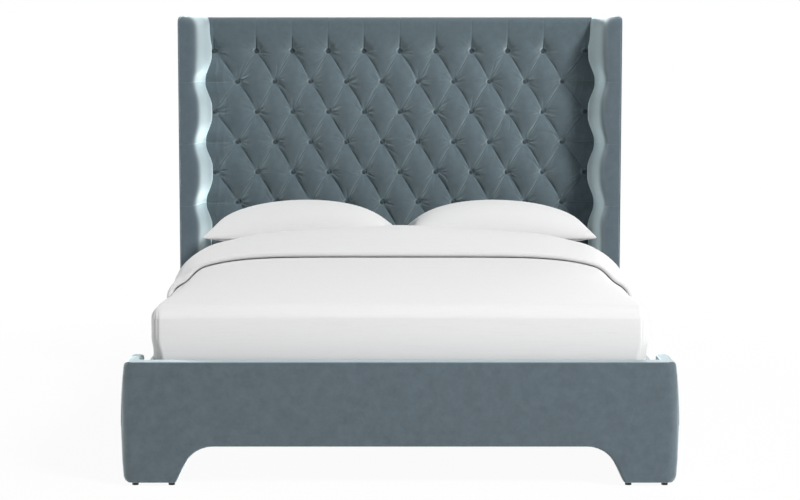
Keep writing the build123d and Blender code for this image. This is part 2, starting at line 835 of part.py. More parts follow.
# Coverlet: over the mattress and down its sides, and narrower under the pillows
hem_z = mattress_base_z + coverlet_hem_gap
coverlet_end_y = mattress_back_y - coverlet_head_inset
coverlet_wide_y = wing_front_y - coverlet_wing_gap
fold_y = mattress_back_y - fold_from_head
crown_length = fold_y - coverlet_front_y
coverlet_narrow_half = mattress_width / 2 - coverlet_head_inset
with BuildPart() as coverlet:
    extrude(to_extrude=coverlet_section(0), amount=overall_length, both=True)
    with BuildSketch(Plane.YZ):
        front_top_z = coverlet_top_z - coverlet_front_drop
        with BuildLine():
            Line((coverlet_front_y, hem_z), (coverlet_front_y, front_top_z - coverlet_front_radius))
            RadiusArc(
                (coverlet_front_y, front_top_z - coverlet_front_radius),
                (coverlet_front_y + coverlet_front_radius, front_top_z),
                coverlet_front_radius,
            )
            ThreePointArc(
                (coverlet_front_y + coverlet_front_radius, front_top_z),
                (
                    coverlet_front_y + crown_length * coverlet_crown_place_share,
                    front_top_z + coverlet_front_drop * coverlet_crown_rise_share,
                ),
                (fold_y, coverlet_top_z),
            )
            Line((fold_y, coverlet_top_z), (coverlet_end_y, coverlet_top_z))
            Line((coverlet_end_y, coverlet_top_z), (coverlet_end_y, hem_z))
            Line((coverlet_end_y, hem_z), (coverlet_front_y, hem_z))
        make_face()
    extrude(amount=overall_width, both=True, mode=Mode.INTERSECT)
    extrude(to_extrude=mattress_plan(fit_gap), amount=mattress_thickness + fit_gap, mode=Mode.SUBTRACT)
    for side, side_name in sides:
        trim_low_x, trim_high_x = between(side * coverlet_narrow_half, side * overall_width)
        box_between(
            (trim_low_x, coverlet_wide_y, 0),
            (trim_high_x, overall_length, overall_height),
            mode=Mode.SUBTRACT,
        )
    box_between(
        (-overall_width, coverlet_wide_y, 0),
        (overall_width, overall_length, mattress_top_z + fit_gap),
        mode=Mode.SUBTRACT,
    )
save(coverlet, "coverlet")

# Turn-down of the duvet: a soft roll across the bed that hangs over both sides
turn_down_back_y = fold_y + turn_down_length
turn_down_half = coverlet_half + turn_down_stand_off
turn_down_hem_z = mattress_top_z - turn_down_drop
turn_down_top_z = coverlet_top_z + turn_down_rise
with BuildPart() as turn_down:
    with BuildSketch(Plane.XZ):
        roll_x = turn_down_half * turn_down_roll_x_share
        roll_z = turn_down_hem_z + (turn_down_top_z - turn_down_hem_z) * turn_down_roll_z_share
        side_x = roll_x + (turn_down_half - roll_x) * turn_down_side_share
        with BuildLine():
            Line((-turn_down_half, turn_down_hem_z), (turn_down_half, turn_down_hem_z))
            for outward in (1, -1):
                ThreePointArc(
                    (outward * turn_down_half, turn_down_hem_z),
                    (outward * side_x, (turn_down_hem_z + roll_z) / 2),
                    (outward * roll_x, roll_z),
                )
            ThreePointArc((roll_x, roll_z), (0, turn_down_top_z), (-roll_x, roll_z))
        make_face()
    extrude(amount=overall_length, both=True)
    with BuildSketch(Plane.YZ):
        crest_y = fold_y + turn_down_length * turn_down_crest_share
        front_z = coverlet_top_z + turn_down_rise * turn_down_front_share
        bend_y = fold_y + turn_down_length * turn_down_bend_place_share
        bend_z = coverlet_top_z + turn_down_rise * turn_down_bend_rise_share
        back_bend_y = turn_down_back_y - turn_down_length * turn_down_back_place_share
        back_bend_z = turn_down_top_z - turn_down_rise * turn_down_back_bend_share
        back_z = turn_down_top_z - turn_down_rise * turn_down_back_share
        with BuildLine():
            Line((fold_y, 0), (fold_y, front_z))
            ThreePointArc((fold_y, front_z), (bend_y, bend_z), (crest_y, turn_down_top_z))
            ThreePointArc(
                (crest_y, turn_down_top_z), (back_bend_y, back_bend_z), (turn_down_back_y, back_z)
            )
            Line((turn_down_back_y, back_z), (turn_down_back_y, 0))
            Line((turn_down_back_y, 0), (fold_y, 0))
        make_face()
    extrude(amount=overall_width, both=True, mode=Mode.INTERSECT)
    extrude(to_extrude=coverlet_section(fit_gap), amount=overall_length, both=True, mode=Mode.SUBTRACT)
save(turn_down, "duvet_turn_down")

def pillow_arch(start_y, end_y, seam_z, rise):
    """Points of a flat arch from one seam of a pillow to the other."""
    steps = [i / pillow_facets for i in range(pillow_facets + 1)]
    return [
        (start_y + (end_y - start_y) * step, seam_z + rise * (1 - (2 * step - 1) ** 2)) for step in steps
    ]


# Pillows: crowned between thin ends, with sides that draw in between the corners. Their
# undersides are pressed to the shape of the coverlet that they rest on
pillow_front_y = turn_down_back_y + pillow_gap
pillow_middle_y = pillow_front_y + pillow_depth / 2
pillow_length = mattress_width / 2 - pillow_inner_half - pillow_side_inset
pillow_base_z = coverlet_top_z - pillow_press
pillow_place_shares = (0, 0.1, 0.3, 0.55, 0.8, 0.94, 1)
pillow_height_shares = (0.05, 0.42, 0.88, 1, 0.74, 0.34, 0.05)
pillow_depth_shares = (1, 0.975, 0.95, 0.94, 0.95, 0.975, 1)
for side, side_name in sides:
    with BuildPart() as pillow:
        shares = zip(pillow_place_shares, pillow_height_shares, pillow_depth_shares)
        for place_share, height_share, depth_share in shares:
            section_x = side * (pillow_inner_half + pillow_length * place_share)
            half_depth = pillow_depth / 2 * depth_share
            seam_z = pillow_base_z + pillow_seam_rise
            below = (pillow_seam_rise - pillow_seam / 2) * height_share
            above = (pillow_height - pillow_seam_rise - pillow_seam / 2) * height_share
            with BuildSketch(Plane.YZ.offset(section_x)):
                with BuildLine():
                    front_y = pillow_middle_y - half_depth
                    back_y = pillow_middle_y + half_depth
                    Polyline(
                        *pillow_arch(front_y, back_y, seam_z + pillow_seam / 2, above),
                        *pillow_arch(back_y, front_y, seam_z - pillow_seam / 2, -below),
                        close=True,
                    )
                make_face()
        loft(ruled=True)
        extrude(
            to_extrude=coverlet_section(fit_gap), amount=overall_length, both=True, mode=Mode.SUBTRACT
        )
    save(pillow, f"pillow_{side_name}")
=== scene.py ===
"""Upholstered winged bed with made-up bedding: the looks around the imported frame, in metres."""

import math

import bpy
import numpy as np
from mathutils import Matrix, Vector

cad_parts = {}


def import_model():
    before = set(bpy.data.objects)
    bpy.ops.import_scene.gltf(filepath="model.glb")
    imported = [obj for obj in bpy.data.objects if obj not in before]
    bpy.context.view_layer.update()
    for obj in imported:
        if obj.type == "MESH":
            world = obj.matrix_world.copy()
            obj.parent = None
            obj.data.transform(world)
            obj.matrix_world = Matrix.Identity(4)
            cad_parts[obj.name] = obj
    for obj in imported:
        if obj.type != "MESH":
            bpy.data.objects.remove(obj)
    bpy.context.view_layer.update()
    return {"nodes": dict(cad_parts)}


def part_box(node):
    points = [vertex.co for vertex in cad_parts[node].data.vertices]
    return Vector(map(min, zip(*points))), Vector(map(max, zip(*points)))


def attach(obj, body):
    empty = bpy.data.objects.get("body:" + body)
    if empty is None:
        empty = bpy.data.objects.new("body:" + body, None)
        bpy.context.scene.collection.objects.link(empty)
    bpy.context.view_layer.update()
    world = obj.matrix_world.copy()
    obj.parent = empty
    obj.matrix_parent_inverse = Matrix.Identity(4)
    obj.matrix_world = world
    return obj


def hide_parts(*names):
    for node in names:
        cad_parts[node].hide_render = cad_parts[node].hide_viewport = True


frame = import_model()
nodes = frame["nodes"]
rng = np.random.default_rng(7)

# Bodies
BED = "bed_frame"
BEDDING = "made_mattress"
SIDES = ((-1, "left"), (1, "right"))

# Photograph's view
CAMERA_PLACE = (0.0, -6.905, 1.305)
CAMERA_PITCH_DOWN = math.radians(5.6515)
LENS_MM = 86.4
SENSOR_MM = 36.0

# Keeps a division from meeting 0
TINY = 1e-9


# Mesh helpers


def new_object(name, data):
    """A new object, put into the scene."""
    made = bpy.data.objects.new(name, data)
    bpy.context.scene.collection.objects.link(made)
    return made


def new_piece(name, points, faces, body, finish, node, smooth=True):
    """A mesh from points and faces that rides on a body and stands for a CAD node."""
    mesh = bpy.data.meshes.new(name)
    mesh.from_pydata(np.asarray(points, float).tolist(), [], [tuple(map(int, f)) for f in faces])
    mesh.update()
    mesh.validate()
    mesh.polygons.foreach_set("use_smooth", [smooth] * len(mesh.polygons))
    mesh.materials.append(finish)
    piece = new_object(name, mesh)
    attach(piece, body)
    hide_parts(node)
    return piece


def grid_faces(rows, columns, closed=False):
    """Quads of a grid whose points are stored row by row, with its columns joined round if closed."""
    a = np.arange(rows - 1)[:, None] * columns
    b = np.arange(columns if closed else columns - 1)[None, :]
    right = (b + 1) % columns
    corners = (a + b, a + right, a + columns + right, a + columns + b)
    return [tuple(f) for f in np.stack(corners, -1).reshape(-1, 4)]


def turned(faces):
    """The same faces, looking the other way."""
    return [tuple(reversed(f)) for f in faces]


def loft(rings):
    """Closed solid through rings of as many points each, with a flat fan on both ends."""
    rings = np.asarray(rings, float)
    count, around, _ = rings.shape
    points = rings.reshape(-1, 3)
    faces = grid_faces(count, around, closed=True)
    ends = []
    for ring, flip in ((0, True), (count - 1, False)):
        centre = len(points) + len(ends)
        ends.append(rings[ring].mean(axis=0))
        for i in range(around):
            a = ring * around + i
            b = ring * around + (i + 1) % around
            faces.append((centre, b, a) if flip else (centre, a, b))
    return np.vstack([points, ends]), faces


def box_mesh(xs, ys, zs, without=()):
    """Surface of a box with points at the given places; faces named in without are left open."""
    index = {}
    points = []

    def at(i, j, k):
        if (i, j, k) not in index:
            index[i, j, k] = len(points)
            points.append((xs[i], ys[j], zs[k]))
        return index[i, j, k]

    faces = []
    counts = (len(xs) - 1, len(ys) - 1, len(zs) - 1)
    sides = ((("bottom", "top"), 2, 0, 1), (("front", "back"), 1, 0, 2), (("low_x", "high_x"), 0, 1, 2))
    for names, level_axis, first, second in sides:
        for name, level in zip(names, (0, counts[level_axis])):
            if name in without:
                continue
            outward = (level > 0) != (level_axis == 1)
            for i in range(counts[first]):
                for j in range(counts[second]):
                    quad = []
                    for a, b in ((i, j), (i + 1, j), (i + 1, j + 1), (i, j + 1)):
                        place = [level] * 3
                        place[first] = a
                        place[second] = b
                        quad.append(at(*place))
                    faces.append(tuple(quad if outward else quad[::-1]))
    return np.array(points, float), faces


def places(low, high, edge, fine, coarse):
    """Places from low to high, fine ones within an edge of both ends."""
    near = np.linspace(low, low + edge, fine + 1)
    middle = np.linspace(low + edge, high - edge, coarse + 1)[1:-1]
    far = np.linspace(high - edge, high, fine + 1)
    return np.concatenate([near, middle, far])


def round_off(points, low, high, radii):
    """Rounds the corners and edges of a box from low to high by a radius along each axis."""
    low, high, radii = (np.asarray(v, float) for v in (low, high, radii))
    inner = np.clip(points, low + radii, high - radii)
    away = (points - inner) / radii
    length = np.linalg.norm(away, axis=1, keepdims=True)
    return inner + radii * away / np.maximum(length, TINY)


def thicken(points, faces, inner):
    """Closed shell between a sheet and a second set of its points, on the sheet's inner side."""
    count = len(points)
    edges = {}
    for face in faces:
        for a, b in zip(face, (*face[1:], face[0])):
            edges[a, b] = True
    rim = [(a, b) for a, b in edges if (b, a) not in edges]
    solid = [tuple(f) for f in faces]
    solid += [tuple(v + count for v in reversed(f)) for f in faces]
    solid += [(b, a, a + count, b + count) for a, b in rim]
    return np.vstack([points, inner]), solid


def smooth_step(t):
    """0 below 0, 1 above 1 and a smooth rise between."""
    t = np.clip(t, 0, 1)
    return t * t * (3 - 2 * t)


def ease(value, start, end):
    """0 before start, 1 past end and a smooth change between; end may lie below start."""
    return smooth_step((value - start) / (end - start))


def bell(away, width):
    """1 where away is 0, falling off on both sides within a few widths."""
    return np.exp(-((away / width) ** 2))


def quarter(t):
    """Fall of a quarter circle, from 0 at 0 to 1 at 1."""
    return 1 - np.sqrt(np.maximum(0, 1 - np.clip(t, 0, 1) ** 2))


def waves(places_on_line, count, lowest, highest, random):
    """Sum of sines with random phases, between about -1 and 1."""
    total = np.zeros_like(places_on_line)
    for _ in range(count):
        total += np.sin(places_on_line * random.uniform(lowest, highest) + random.uniform(0, 2 * math.pi))
    return total / count


def tube(name, path, radius, body, finish, node, sides=10):
    """Round tube along a path of points, with closed ends."""
    path = np.asarray(path, float)
    along = np.gradient(path, axis=0)
    along /= np.linalg.norm(along, axis=1, keepdims=True)
    first = np.cross(along, (1.0, 0.0, 0.0))
    first /= np.linalg.norm(first, axis=1, keepdims=True)
    second = np.cross(along, first)
    turns = np.linspace(0, 2 * math.pi, sides, endpoint=False)
    rings = [
        [p + radius * (math.cos(t) * a + math.sin(t) * b) for t in turns]
        for p, a, b in zip(path, first, second)
    ]
    points, faces = loft(rings)
    return new_piece(name, points, faces, body, finish, node)


# Materials


class Finish:
    """A material's or the world's nodes, with ways to add and join them."""

    def __init__(self, made):
        made.use_nodes = True
        self.made = made
        self.tree = made.node_tree
        self.shader = self.tree.nodes.get("Principled BSDF")

    def add(self, kind, **values):
        """A new node with its settings and the values of its sockets."""
        node = self.tree.nodes.new(kind)
        for key, value in values.items():
            if hasattr(node, key):
                setattr(node, key, value)
            else:
                node.inputs[key.replace("_", " ")].default_value = value
        return node

    def join(self, source, target):
        """A link from an output to an input."""
        self.tree.links.new(source, target)

    def shade(self, **values):
        """Uniform values of the shader's sockets."""
        for key, value in values.items():
            self.shader.inputs[key.replace("_", " ")].default_value = value

    def places(self, scale=(1, 1, 1)):
        """Object coordinates, stretched by a scale along each axis."""
        source = self.add("ShaderNodeTexCoord")
        mapping = self.add("ShaderNodeMapping", Scale=scale)
        self.join(source.outputs["Object"], mapping.inputs["Vector"])
        return mapping.outputs["Vector"]

    def texture(self, kind, where, output="Fac", **values):
        """A texture's output at the given places."""
        node = self.add(f"ShaderNodeTex{kind}", **values)
        self.join(where, node.inputs["Vector"])
        return node.outputs[output]

    def math(self, operation, *sources):
        """Result of an operation on outputs and plain numbers."""
        node = self.add("ShaderNodeMath", operation=operation)
        for socket, source in zip(node.inputs, sources):
            if isinstance(source, float):
                socket.default_value = source
            else:
                self.join(source, socket)
        return node.outputs["Value"]

    def ramp(self, source, socket, stops):
        """Colour ramp from a value to a socket of the shader; stops are (place, colour)."""
        node = self.add("ShaderNodeValToRGB")
        elements = node.color_ramp.elements
        for element, (place, colour) in zip(elements, stops):
            element.position = place
            element.color = (*colour, 1)
        self.join(source, node.inputs["Fac"])
        self.join(node.outputs["Color"], self.shader.inputs[socket])

    def bump(self, height, strength, distance):
        """Fine relief of the shader."""
        node = self.add("ShaderNodeBump", Strength=strength, Distance=distance)
        self.join(height, node.inputs["Height"])
        self.join(node.outputs["Normal"], self.shader.inputs["Normal"])


def new_finish(name):
    """A new node material."""
    return Finish(bpy.data.materials.new(name))


SHEEN_TINT = (2.2, 2.65, 2.75)
# Painted light: the wings' velvet gets a stronger sheen than the rest, so their inner faces that the key
# lights render brighter; the sheen itself is the velvet's own
WING_SHEEN_WITH_PAINTED_LIGHT = (2.4, 2.85, 2.95)
# Painted shade: the footboard's velvet gets a much weaker sheen, so its top band and raised ends, lit by the
# key from above, render dimmer; the sheen itself is the velvet's own
FRAME_SHEEN_WITH_PAINTED_SHADE = (1.2, 1.42, 1.48)
# Painted shade: the rails' velvet gets a weaker sheen still, so their tops behind the footboard render
# darker; the sheen itself is the velvet's own
RAIL_SHEEN_WITH_PAINTED_SHADE = (0.8, 0.95, 1.0)
TUFT_SHEEN = (1.5, 1.75, 1.8)
BUTTON_SHEEN = (0.9, 1.1, 1.15)
VELVET_TONE = (0.062, 0.087, 0.108)
TUFT_TONE = (0.075, 0.107, 0.124)
FRAME_TONE = (0.075, 0.1, 0.118)
BUTTON_TONE = (0.03, 0.042, 0.05)
WHITE_TONE = (0.8, 0.8, 0.8)
PILE_SHARE = 0.45
RING_SHARE = 0.35
THREAD_STRETCH = 0.03


def velvet(name, tone, sheen=SHEEN_TINT, nap=0.12):
    """Cut-pile velvet: mottled nap, fine pile and a soft sheen at grazing angles."""
    finish = new_finish(name)
    where = finish.places()
    clouds = finish.texture("Noise", where, Scale=34.0, Detail=6.0, Roughness=0.7)
    pile = finish.texture("Noise", where, Scale=210.0, Detail=3.0, Roughness=0.7)
    mix = finish.math("ADD", clouds, finish.math("MULTIPLY", pile, PILE_SHARE))
    darker = [c * (1 - nap) for c in tone]
    lighter = [c * (1 + nap) for c in tone]
    finish.ramp(mix, "Base Color", ((0.52, darker), (0.92, lighter)))
    finish.bump(pile, strength=0.25, distance=0.0006)
    finish.shade(Roughness=0.62, Specular_IOR_Level=0.18)
    finish.shade(Sheen_Weight=1.0, Sheen_Roughness=0.5, Sheen_Tint=(*sheen, 1))
    return finish.made


def cotton(name, thread=420.0, slubs=0.05):
    """Plain-woven cotton: crossed threads with slubs, matt and white."""
    finish = new_finish(name)
    threads = []
    for stretch in ((1, THREAD_STRETCH, 0.5), (THREAD_STRETCH, 1, 0.5)):
        where = finish.places([thread * share for share in stretch])
        threads.append(finish.texture("Noise", where, Scale=1.0, Detail=3.0, Roughness=0.6))
    weave = finish.math("ADD", *threads)
    darker = [c * (1 - slubs) for c in WHITE_TONE]
    finish.ramp(weave, "Base Color", ((0.6, darker), (1.0, WHITE_TONE)))
    finish.bump(weave, strength=0.3, distance=0.0003)
    finish.shade(Roughness=0.92, Specular_IOR_Level=0.06, Diffuse_Roughness=0.5)
    return finish.made


def wood(name, light, dark, stretch):
    """Sawn softwood: rings drawn out along the board, with fine pores."""
    finish = new_finish(name)
    where = finish.places(stretch)
    grain = finish.texture("Noise", where, Scale=3.0, Detail=8.0, Roughness=0.62, Distortion=0.6)
    rings = finish.texture("Wave", where, Scale=2.2, Distortion=7.0, Detail=3.0)
    mix = finish.math("ADD", grain, finish.math("MULTIPLY", rings, RING_SHARE))
    finish.ramp(mix, "Base Color", ((0.4, dark), (0.85, light)))
    finish.bump(grain, strength=0.25, distance=0.0008)
    finish.shade(Roughness=0.7)
    return finish.made


def zinc(name):
    """Zinc-plated steel with a faint spangle."""
    finish = new_finish(name)
    where = finish.places()
    spangle = finish.texture("Voronoi", where, "Distance", Scale=120.0)
    finish.ramp(spangle, "Base Color", ((0.0, (0.5, 0.51, 0.53)), (0.9, (0.66, 0.67, 0.69))))
    scratches = finish.texture("Noise", where, Scale=60.0, Detail=6.0)
    finish.ramp(scratches, "Roughness", ((0.3, (0.3,) * 3), (0.7, (0.48,) * 3)))
    finish.shade(Metallic=1.0)
    return finish.made


def moulded(name):
    """Matt black moulded plastic with a fine spark-eroded grain."""
    finish = new_finish(name)
    grain = finish.texture("Noise", finish.places(), Scale=900.0, Detail=3.0)
    finish.ramp(grain, "Base Color", ((0.3, (0.012,) * 3), (0.7, (0.024,) * 3)))
    finish.bump(grain, strength=0.2, distance=0.0002)
    finish.shade(Roughness=0.5)
    return finish.made


tufted_velvet = velvet("tufted_velvet", TUFT_TONE, TUFT_SHEEN)
button_velvet = velvet("button_velvet", BUTTON_TONE, BUTTON_SHEEN)
# The wings' copy of the velvet carries painted light in its stronger sheen
wing_velvet = velvet("wing_velvet", VELVET_TONE, WING_SHEEN_WITH_PAINTED_LIGHT)
side_velvet = velvet("wing_side_velvet", VELVET_TONE)
welt_velvet = velvet("welt_velvet", VELVET_TONE)
# The footboard's copy of the velvet carries painted shade in its weaker sheen
footboard_velvet = velvet("footboard_velvet", FRAME_TONE, FRAME_SHEEN_WITH_PAINTED_SHADE, nap=0.16)
# The rails' copy of the velvet carries painted shade in its weaker sheen
rail_velvet = velvet("rail_velvet", VELVET_TONE, RAIL_SHEEN_WITH_PAINTED_SHADE)
back_velvet = velvet("back_velvet", VELVET_TONE)
coverlet_cotton = cotton("coverlet_cotton")
duvet_cotton = cotton("duvet_cotton")
pillow_cotton = cotton("pillow_cotton")
ticking = cotton("mattress_ticking", thread=700.0, slubs=0.06)
frame_wood = wood("frame_wood", (0.62, 0.46, 0.3), (0.42, 0.28, 0.16), (14, 2, 14))
slat_wood = wood("slat_wood", (0.7, 0.54, 0.36), (0.5, 0.35, 0.2), (2, 16, 16))
zinc_steel = zinc("zinc_steel")
black_glide = moulded("black_glide")

# Tufted panel: its lattice of buttons and pleats
PITCH_X = 0.1475
PITCH_Z = 0.1244
ROW_A_Z = 1.341
ROWS = 7
COLUMNS_EACH_SIDE = 5
LAST_ROW_Z = ROW_A_Z - (ROWS - 1) * PITCH_Z
PLEAT_LEVELS = [ROW_A_Z - row * PITCH_Z for row in range(1, ROWS, 2)]
panel_low, panel_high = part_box("headboard_tufted_panel")
button_low, button_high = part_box("tufting_buttons")
SEAT_Y = button_high.y
TUFT_BULGE = 0.012
TUFT_DEPTH = SEAT_Y - panel_low.y + TUFT_BULGE
PLAIN_DEPTH = 0.016
PLAIN_FADE = 0.06
FUNNEL_POWER = 0.95
GROOVE_SHARE = 0.42
GROOVE_WIDTH = 0.24
GROOVE_POWER = 0.85
BUTTON_RADIUS = 0.0098
BUTTON_SINK = 0.001
BUTTON_TILT = 0.06
BUTTON_SHANK = ((-0.6, 0.9), (-0.2, 1.0))
BUTTON_REST = 0.006
BUTTON_EDGE = 0.010
TOP_SHARE = 0.93
TOP_RISE = 0.036
TOP_RISE_POWER = 1.3
TOP_GROOVE = 0.0022
TOP_GROOVE_SHARE = 0.02
TOP_GROOVE_FADE = 0.02
TOP_LIP = 0.0007
TOP_LIP_AWAY = 0.0055
TOP_LIP_WIDTH = 0.003
ROLL_RADIUS = 0.026
OUTER_COLUMN_X = 0.59
OUTER_STRETCH = 1.264
ROWS_PER_PITCH = 40
HALF_SPAN = 5.32 * PITCH_X
PLAIN_ROWS_FROM = 0.07
# Depth, start, run and width of the creases beside the wings' pleats
DRAWN_CREASES = ((0.004, 0.69, 0.03, 0.0028), (0.010, 0.70, 0.08, 0.024))
# Place and rise of the upright folds beside the wings, and size, rate and start of their wobble
UPRIGHT_FOLDS = ((0.722, 0.0016), (0.752, 0.0022))
UPRIGHT_FOLD_WIDTH = 0.005
UPRIGHT_FOLD_FADE = 0.05
WOBBLES = ((0.006, 21, 0), (0.003, 47, 1))
NOTCH_FILL = 0.014
NOTCH_FILL_REACH = 0.035
NOTCH_FILL_X = (0.77, 0.795)
PANEL_BACK = 0.004


def stretch_outwards(x):
    """The outermost columns stand a little wider apart than the others."""
    beyond = np.maximum(np.abs(x) - OUTER_COLUMN_X, 0)
    return x + np.sign(x) * OUTER_STRETCH * beyond**2


def lattice(x, z):
    """Places across both runs of pleats: a whole number is a pleat, and two are a button."""
    down = np.clip((ROW_A_Z - z) / PITCH_Z, 0, ROWS - 1)
    return (down + 2 * x / PITCH_X) / 2, (down - 2 * x / PITCH_X) / 2


def tuft_height(x, z):
    """How far the padding stands out before the buttons' seat, before wrinkles."""
    i, j = lattice(x, z)
    p = np.abs(np.sin(math.pi * i))
    q = np.abs(np.sin(math.pi * j))
    funnel = ((p**2 + q**2) / 2) ** (FUNNEL_POWER / 2)
    above = np.maximum(z - ROW_A_Z, 0)
    rise = 1 - np.exp(-((above / TOP_RISE) ** TOP_RISE_POWER))
    below = smooth_step((LAST_ROW_Z - z) / PLAIN_FADE)
    groove = GROOVE_SHARE * (1 - rise) * (1 - below)
    lips = 1.0
    for across in (p, q):
        lips = lips * (1 - groove * np.exp(-((across / GROOVE_WIDTH) ** GROOVE_POWER)))
    funnel = funnel + (TOP_SHARE - funnel) * rise
    distance = np.hypot(p * PITCH_X / math.pi, above)
    near = np.where(above > 0, smooth_step((distance - BUTTON_REST) / BUTTON_EDGE), 1)
    height = TUFT_DEPTH * funnel * lips * near
    # Above the first row each pleat is a narrow fold that runs straight up
    fold = np.abs(np.sin(math.pi * x / PITCH_X)) < TOP_GROOVE_SHARE
    height -= TOP_GROOVE * fold * smooth_step(above / TOP_GROOVE_FADE)
    beside = (x / PITCH_X - np.round(x / PITCH_X)) * PITCH_X
    height += TOP_LIP * bell(beside - TOP_LIP_AWAY, TOP_LIP_WIDTH) * rise
    return height * (1 - below) + PLAIN_DEPTH * below


def button_places():
    """Every button's place before the outer columns are stretched."""
    found = []
    for row in range(ROWS):
        stagger = (row % 2) / 2
        for column in range(-COLUMNS_EACH_SIDE, COLUMNS_EACH_SIDE + 1):
            if abs(column + stagger) <= COLUMNS_EACH_SIDE:
                found.append(((column + stagger) * PITCH_X, ROW_A_Z - row * PITCH_Z))
    return found


# Folds round a button; the draws are turn, widths, reaches and bend
PLEAT_TURN = math.atan2(PITCH_Z, PITCH_X / 2)
WRINKLE_HEIGHT = 0.0028
WRINKLE_SPAN = 0.1
WRINKLE_PEAK = 0.024
WRINKLE_BEND_FROM = 0.02
WRINKLE_EDGE = (0.009, 0.021)
FAN_SPREAD = 0.75
FAN_FOLDS = 7
FAN_DRAW = (0.07, (0.055, 0.10), (0.014, 0.034), 5)
FAN_STRENGTHS = (0.3, 1.1)
UPRIGHT_DRAW = (0.16, (0.05, 0.08), (0.014, 0.03), 3)
UPRIGHT_STRENGTHS = (-1.0, 0.6)
DOUBLED_SHARE = 0.45
DOUBLED_TURNS = (0.14, 0.24)
DOUBLED_SIZE = (0.05, 0.05)
DOUBLED_BEND = 3
DOUBLED_STRENGTH = -1.5


def drawn_fold(heading, turn, widths, reaches, bend):
    """Heading, width, reach and bend of a fold with small random differences."""
    return heading + rng.normal(0, turn), rng.uniform(*widths), rng.uniform(*reaches), rng.normal(0, bend)


def button_folds():
    """Folds that fan out sideways from a button, a few upright ones and at times a doubled pleat."""
    folds = []
    for sideways in (0, math.pi):
        for spread in np.linspace(-FAN_SPREAD, FAN_SPREAD, FAN_FOLDS):
            fold = drawn_fold(sideways + spread, *FAN_DRAW)
            folds.append((*fold, rng.choice([-1, 1]) * rng.uniform(*FAN_STRENGTHS)))
    for upright in (math.pi / 2, -math.pi / 2):
        for _ in range(2):
            fold = drawn_fold(upright, *UPRIGHT_DRAW)
            folds.append((*fold, rng.uniform(*UPRIGHT_STRENGTHS)))
    if rng.random() < DOUBLED_SHARE:
        heading = rng.choice([1, -1]) * PLEAT_TURN + rng.choice([0, math.pi])
        heading += rng.choice([-1, 1]) * rng.uniform(*DOUBLED_TURNS)
        folds.append((heading, *DOUBLED_SIZE, rng.normal(0, DOUBLED_BEND), DOUBLED_STRENGTH))
    return folds


def wrinkles(x, z):
    """Height of the folds round every button."""
    change = np.zeros_like(x)
    for place_x, place_z in button_places():
        dx = x - place_x
        dz = z - place_z
        near = (np.abs(dx) < WRINKLE_SPAN) & (np.abs(dz) < WRINKLE_SPAN)
        distance = np.hypot(dx[near], dz[near])
        turn = np.arctan2(dz[near], dx[near])
        steepness = np.where(distance < WRINKLE_PEAK, 6, 1)
        fan = np.zeros_like(distance)
        for heading, width, reach, bend, strength in button_folds():
            off = np.angle(np.exp(1j * (turn - heading - bend * (distance - WRINKLE_BEND_FROM))))
            along = np.exp(-(((distance - WRINKLE_PEAK) / reach) ** 2) * steepness)
            fan += strength * bell(off, width) * along
        change[near] += WRINKLE_HEIGHT * fan * ease(distance, *WRINKLE_EDGE)
    return change


# Mean and spread of the pleats' bends, for both of their runs
BOW_FALLING = (0.0050, 0.0022)
BOW_RISING = (-0.0012, 0.0022)
BOW_TABLE = 64
BOW_FADE = 0.01


def bow(x, z):
    """Sideways shift that bends the pleats between buttons, each by its own amount."""
    i, j = lattice(x, z)
    slant = math.hypot(PITCH_X / 2, PITCH_Z)
    shift_x = np.zeros_like(x)
    shift_z = np.zeros_like(x)
    table = rng.normal(0, 1, (2, BOW_TABLE, BOW_TABLE))
    fade = smooth_step((ROW_A_Z - z) / BOW_FADE) * smooth_step((z - LAST_ROW_Z) / BOW_FADE)
    runs = ((j, i, BOW_FALLING, (PITCH_Z, PITCH_X / 2)), (i, j, BOW_RISING, (PITCH_Z, -PITCH_X / 2)))
    for k, (across, along, (mean, spread), way) in enumerate(runs):
        line = np.round(across)
        segment = np.floor(along)
        amount = mean + spread * table[k, line.astype(int) % BOW_TABLE, segment.astype(int) % BOW_TABLE]
        weight = np.sin(math.pi * (along - segment)) ** 1.5 * np.cos(math.pi * (across - line)) ** 2
        shift_x += fade * amount * weight * way[0] / slant
        shift_z += fade * amount * weight * way[1] / slant
    return shift_x, shift_z


def staggered_rows(heights, shifted, half_count, step):
    """Rows of points, every shifted row by half a step, and the triangles between them."""
    rows = []
    starts = []
    total = 0
    for height, is_shifted in zip(heights, shifted):
        count = 2 * half_count + (2 if is_shifted else 1)
        xs = (np.arange(count) - half_count - (0.5 if is_shifted else 0)) * step
        xs = np.clip(xs, -half_count * step, half_count * step)
        rows.append(np.stack([xs, np.full(count, height)], -1))
        starts.append(total)
        total += count
    faces = []
    middle = np.arange(2 * half_count + 1)
    for r in range(len(rows) - 1):
        low, high = starts[r], starts[r + 1]
        if shifted[r] == shifted[r + 1]:
            a = np.arange(len(rows[r]) - 1)
            pair = ((low + a, low + a + 1, high + a + 1), (low + a, high + a + 1, high + a))
        elif shifted[r + 1]:
            a = middle[:-1]
            pair = ((low + middle, high + middle + 1, high + middle), (low + a, low + a + 1, high + a + 1))
        else:
            a = middle[:-1]
            pair = ((low + middle, low + middle + 1, high + middle), (low + a + 1, high + a + 1, high + a))
        faces += [np.stack(corners, -1) for corners in pair]
    ends = [(start, start + len(row) - 1) for start, row in zip(starts, rows)]
    return np.vstack(rows), np.vstack(faces), ends


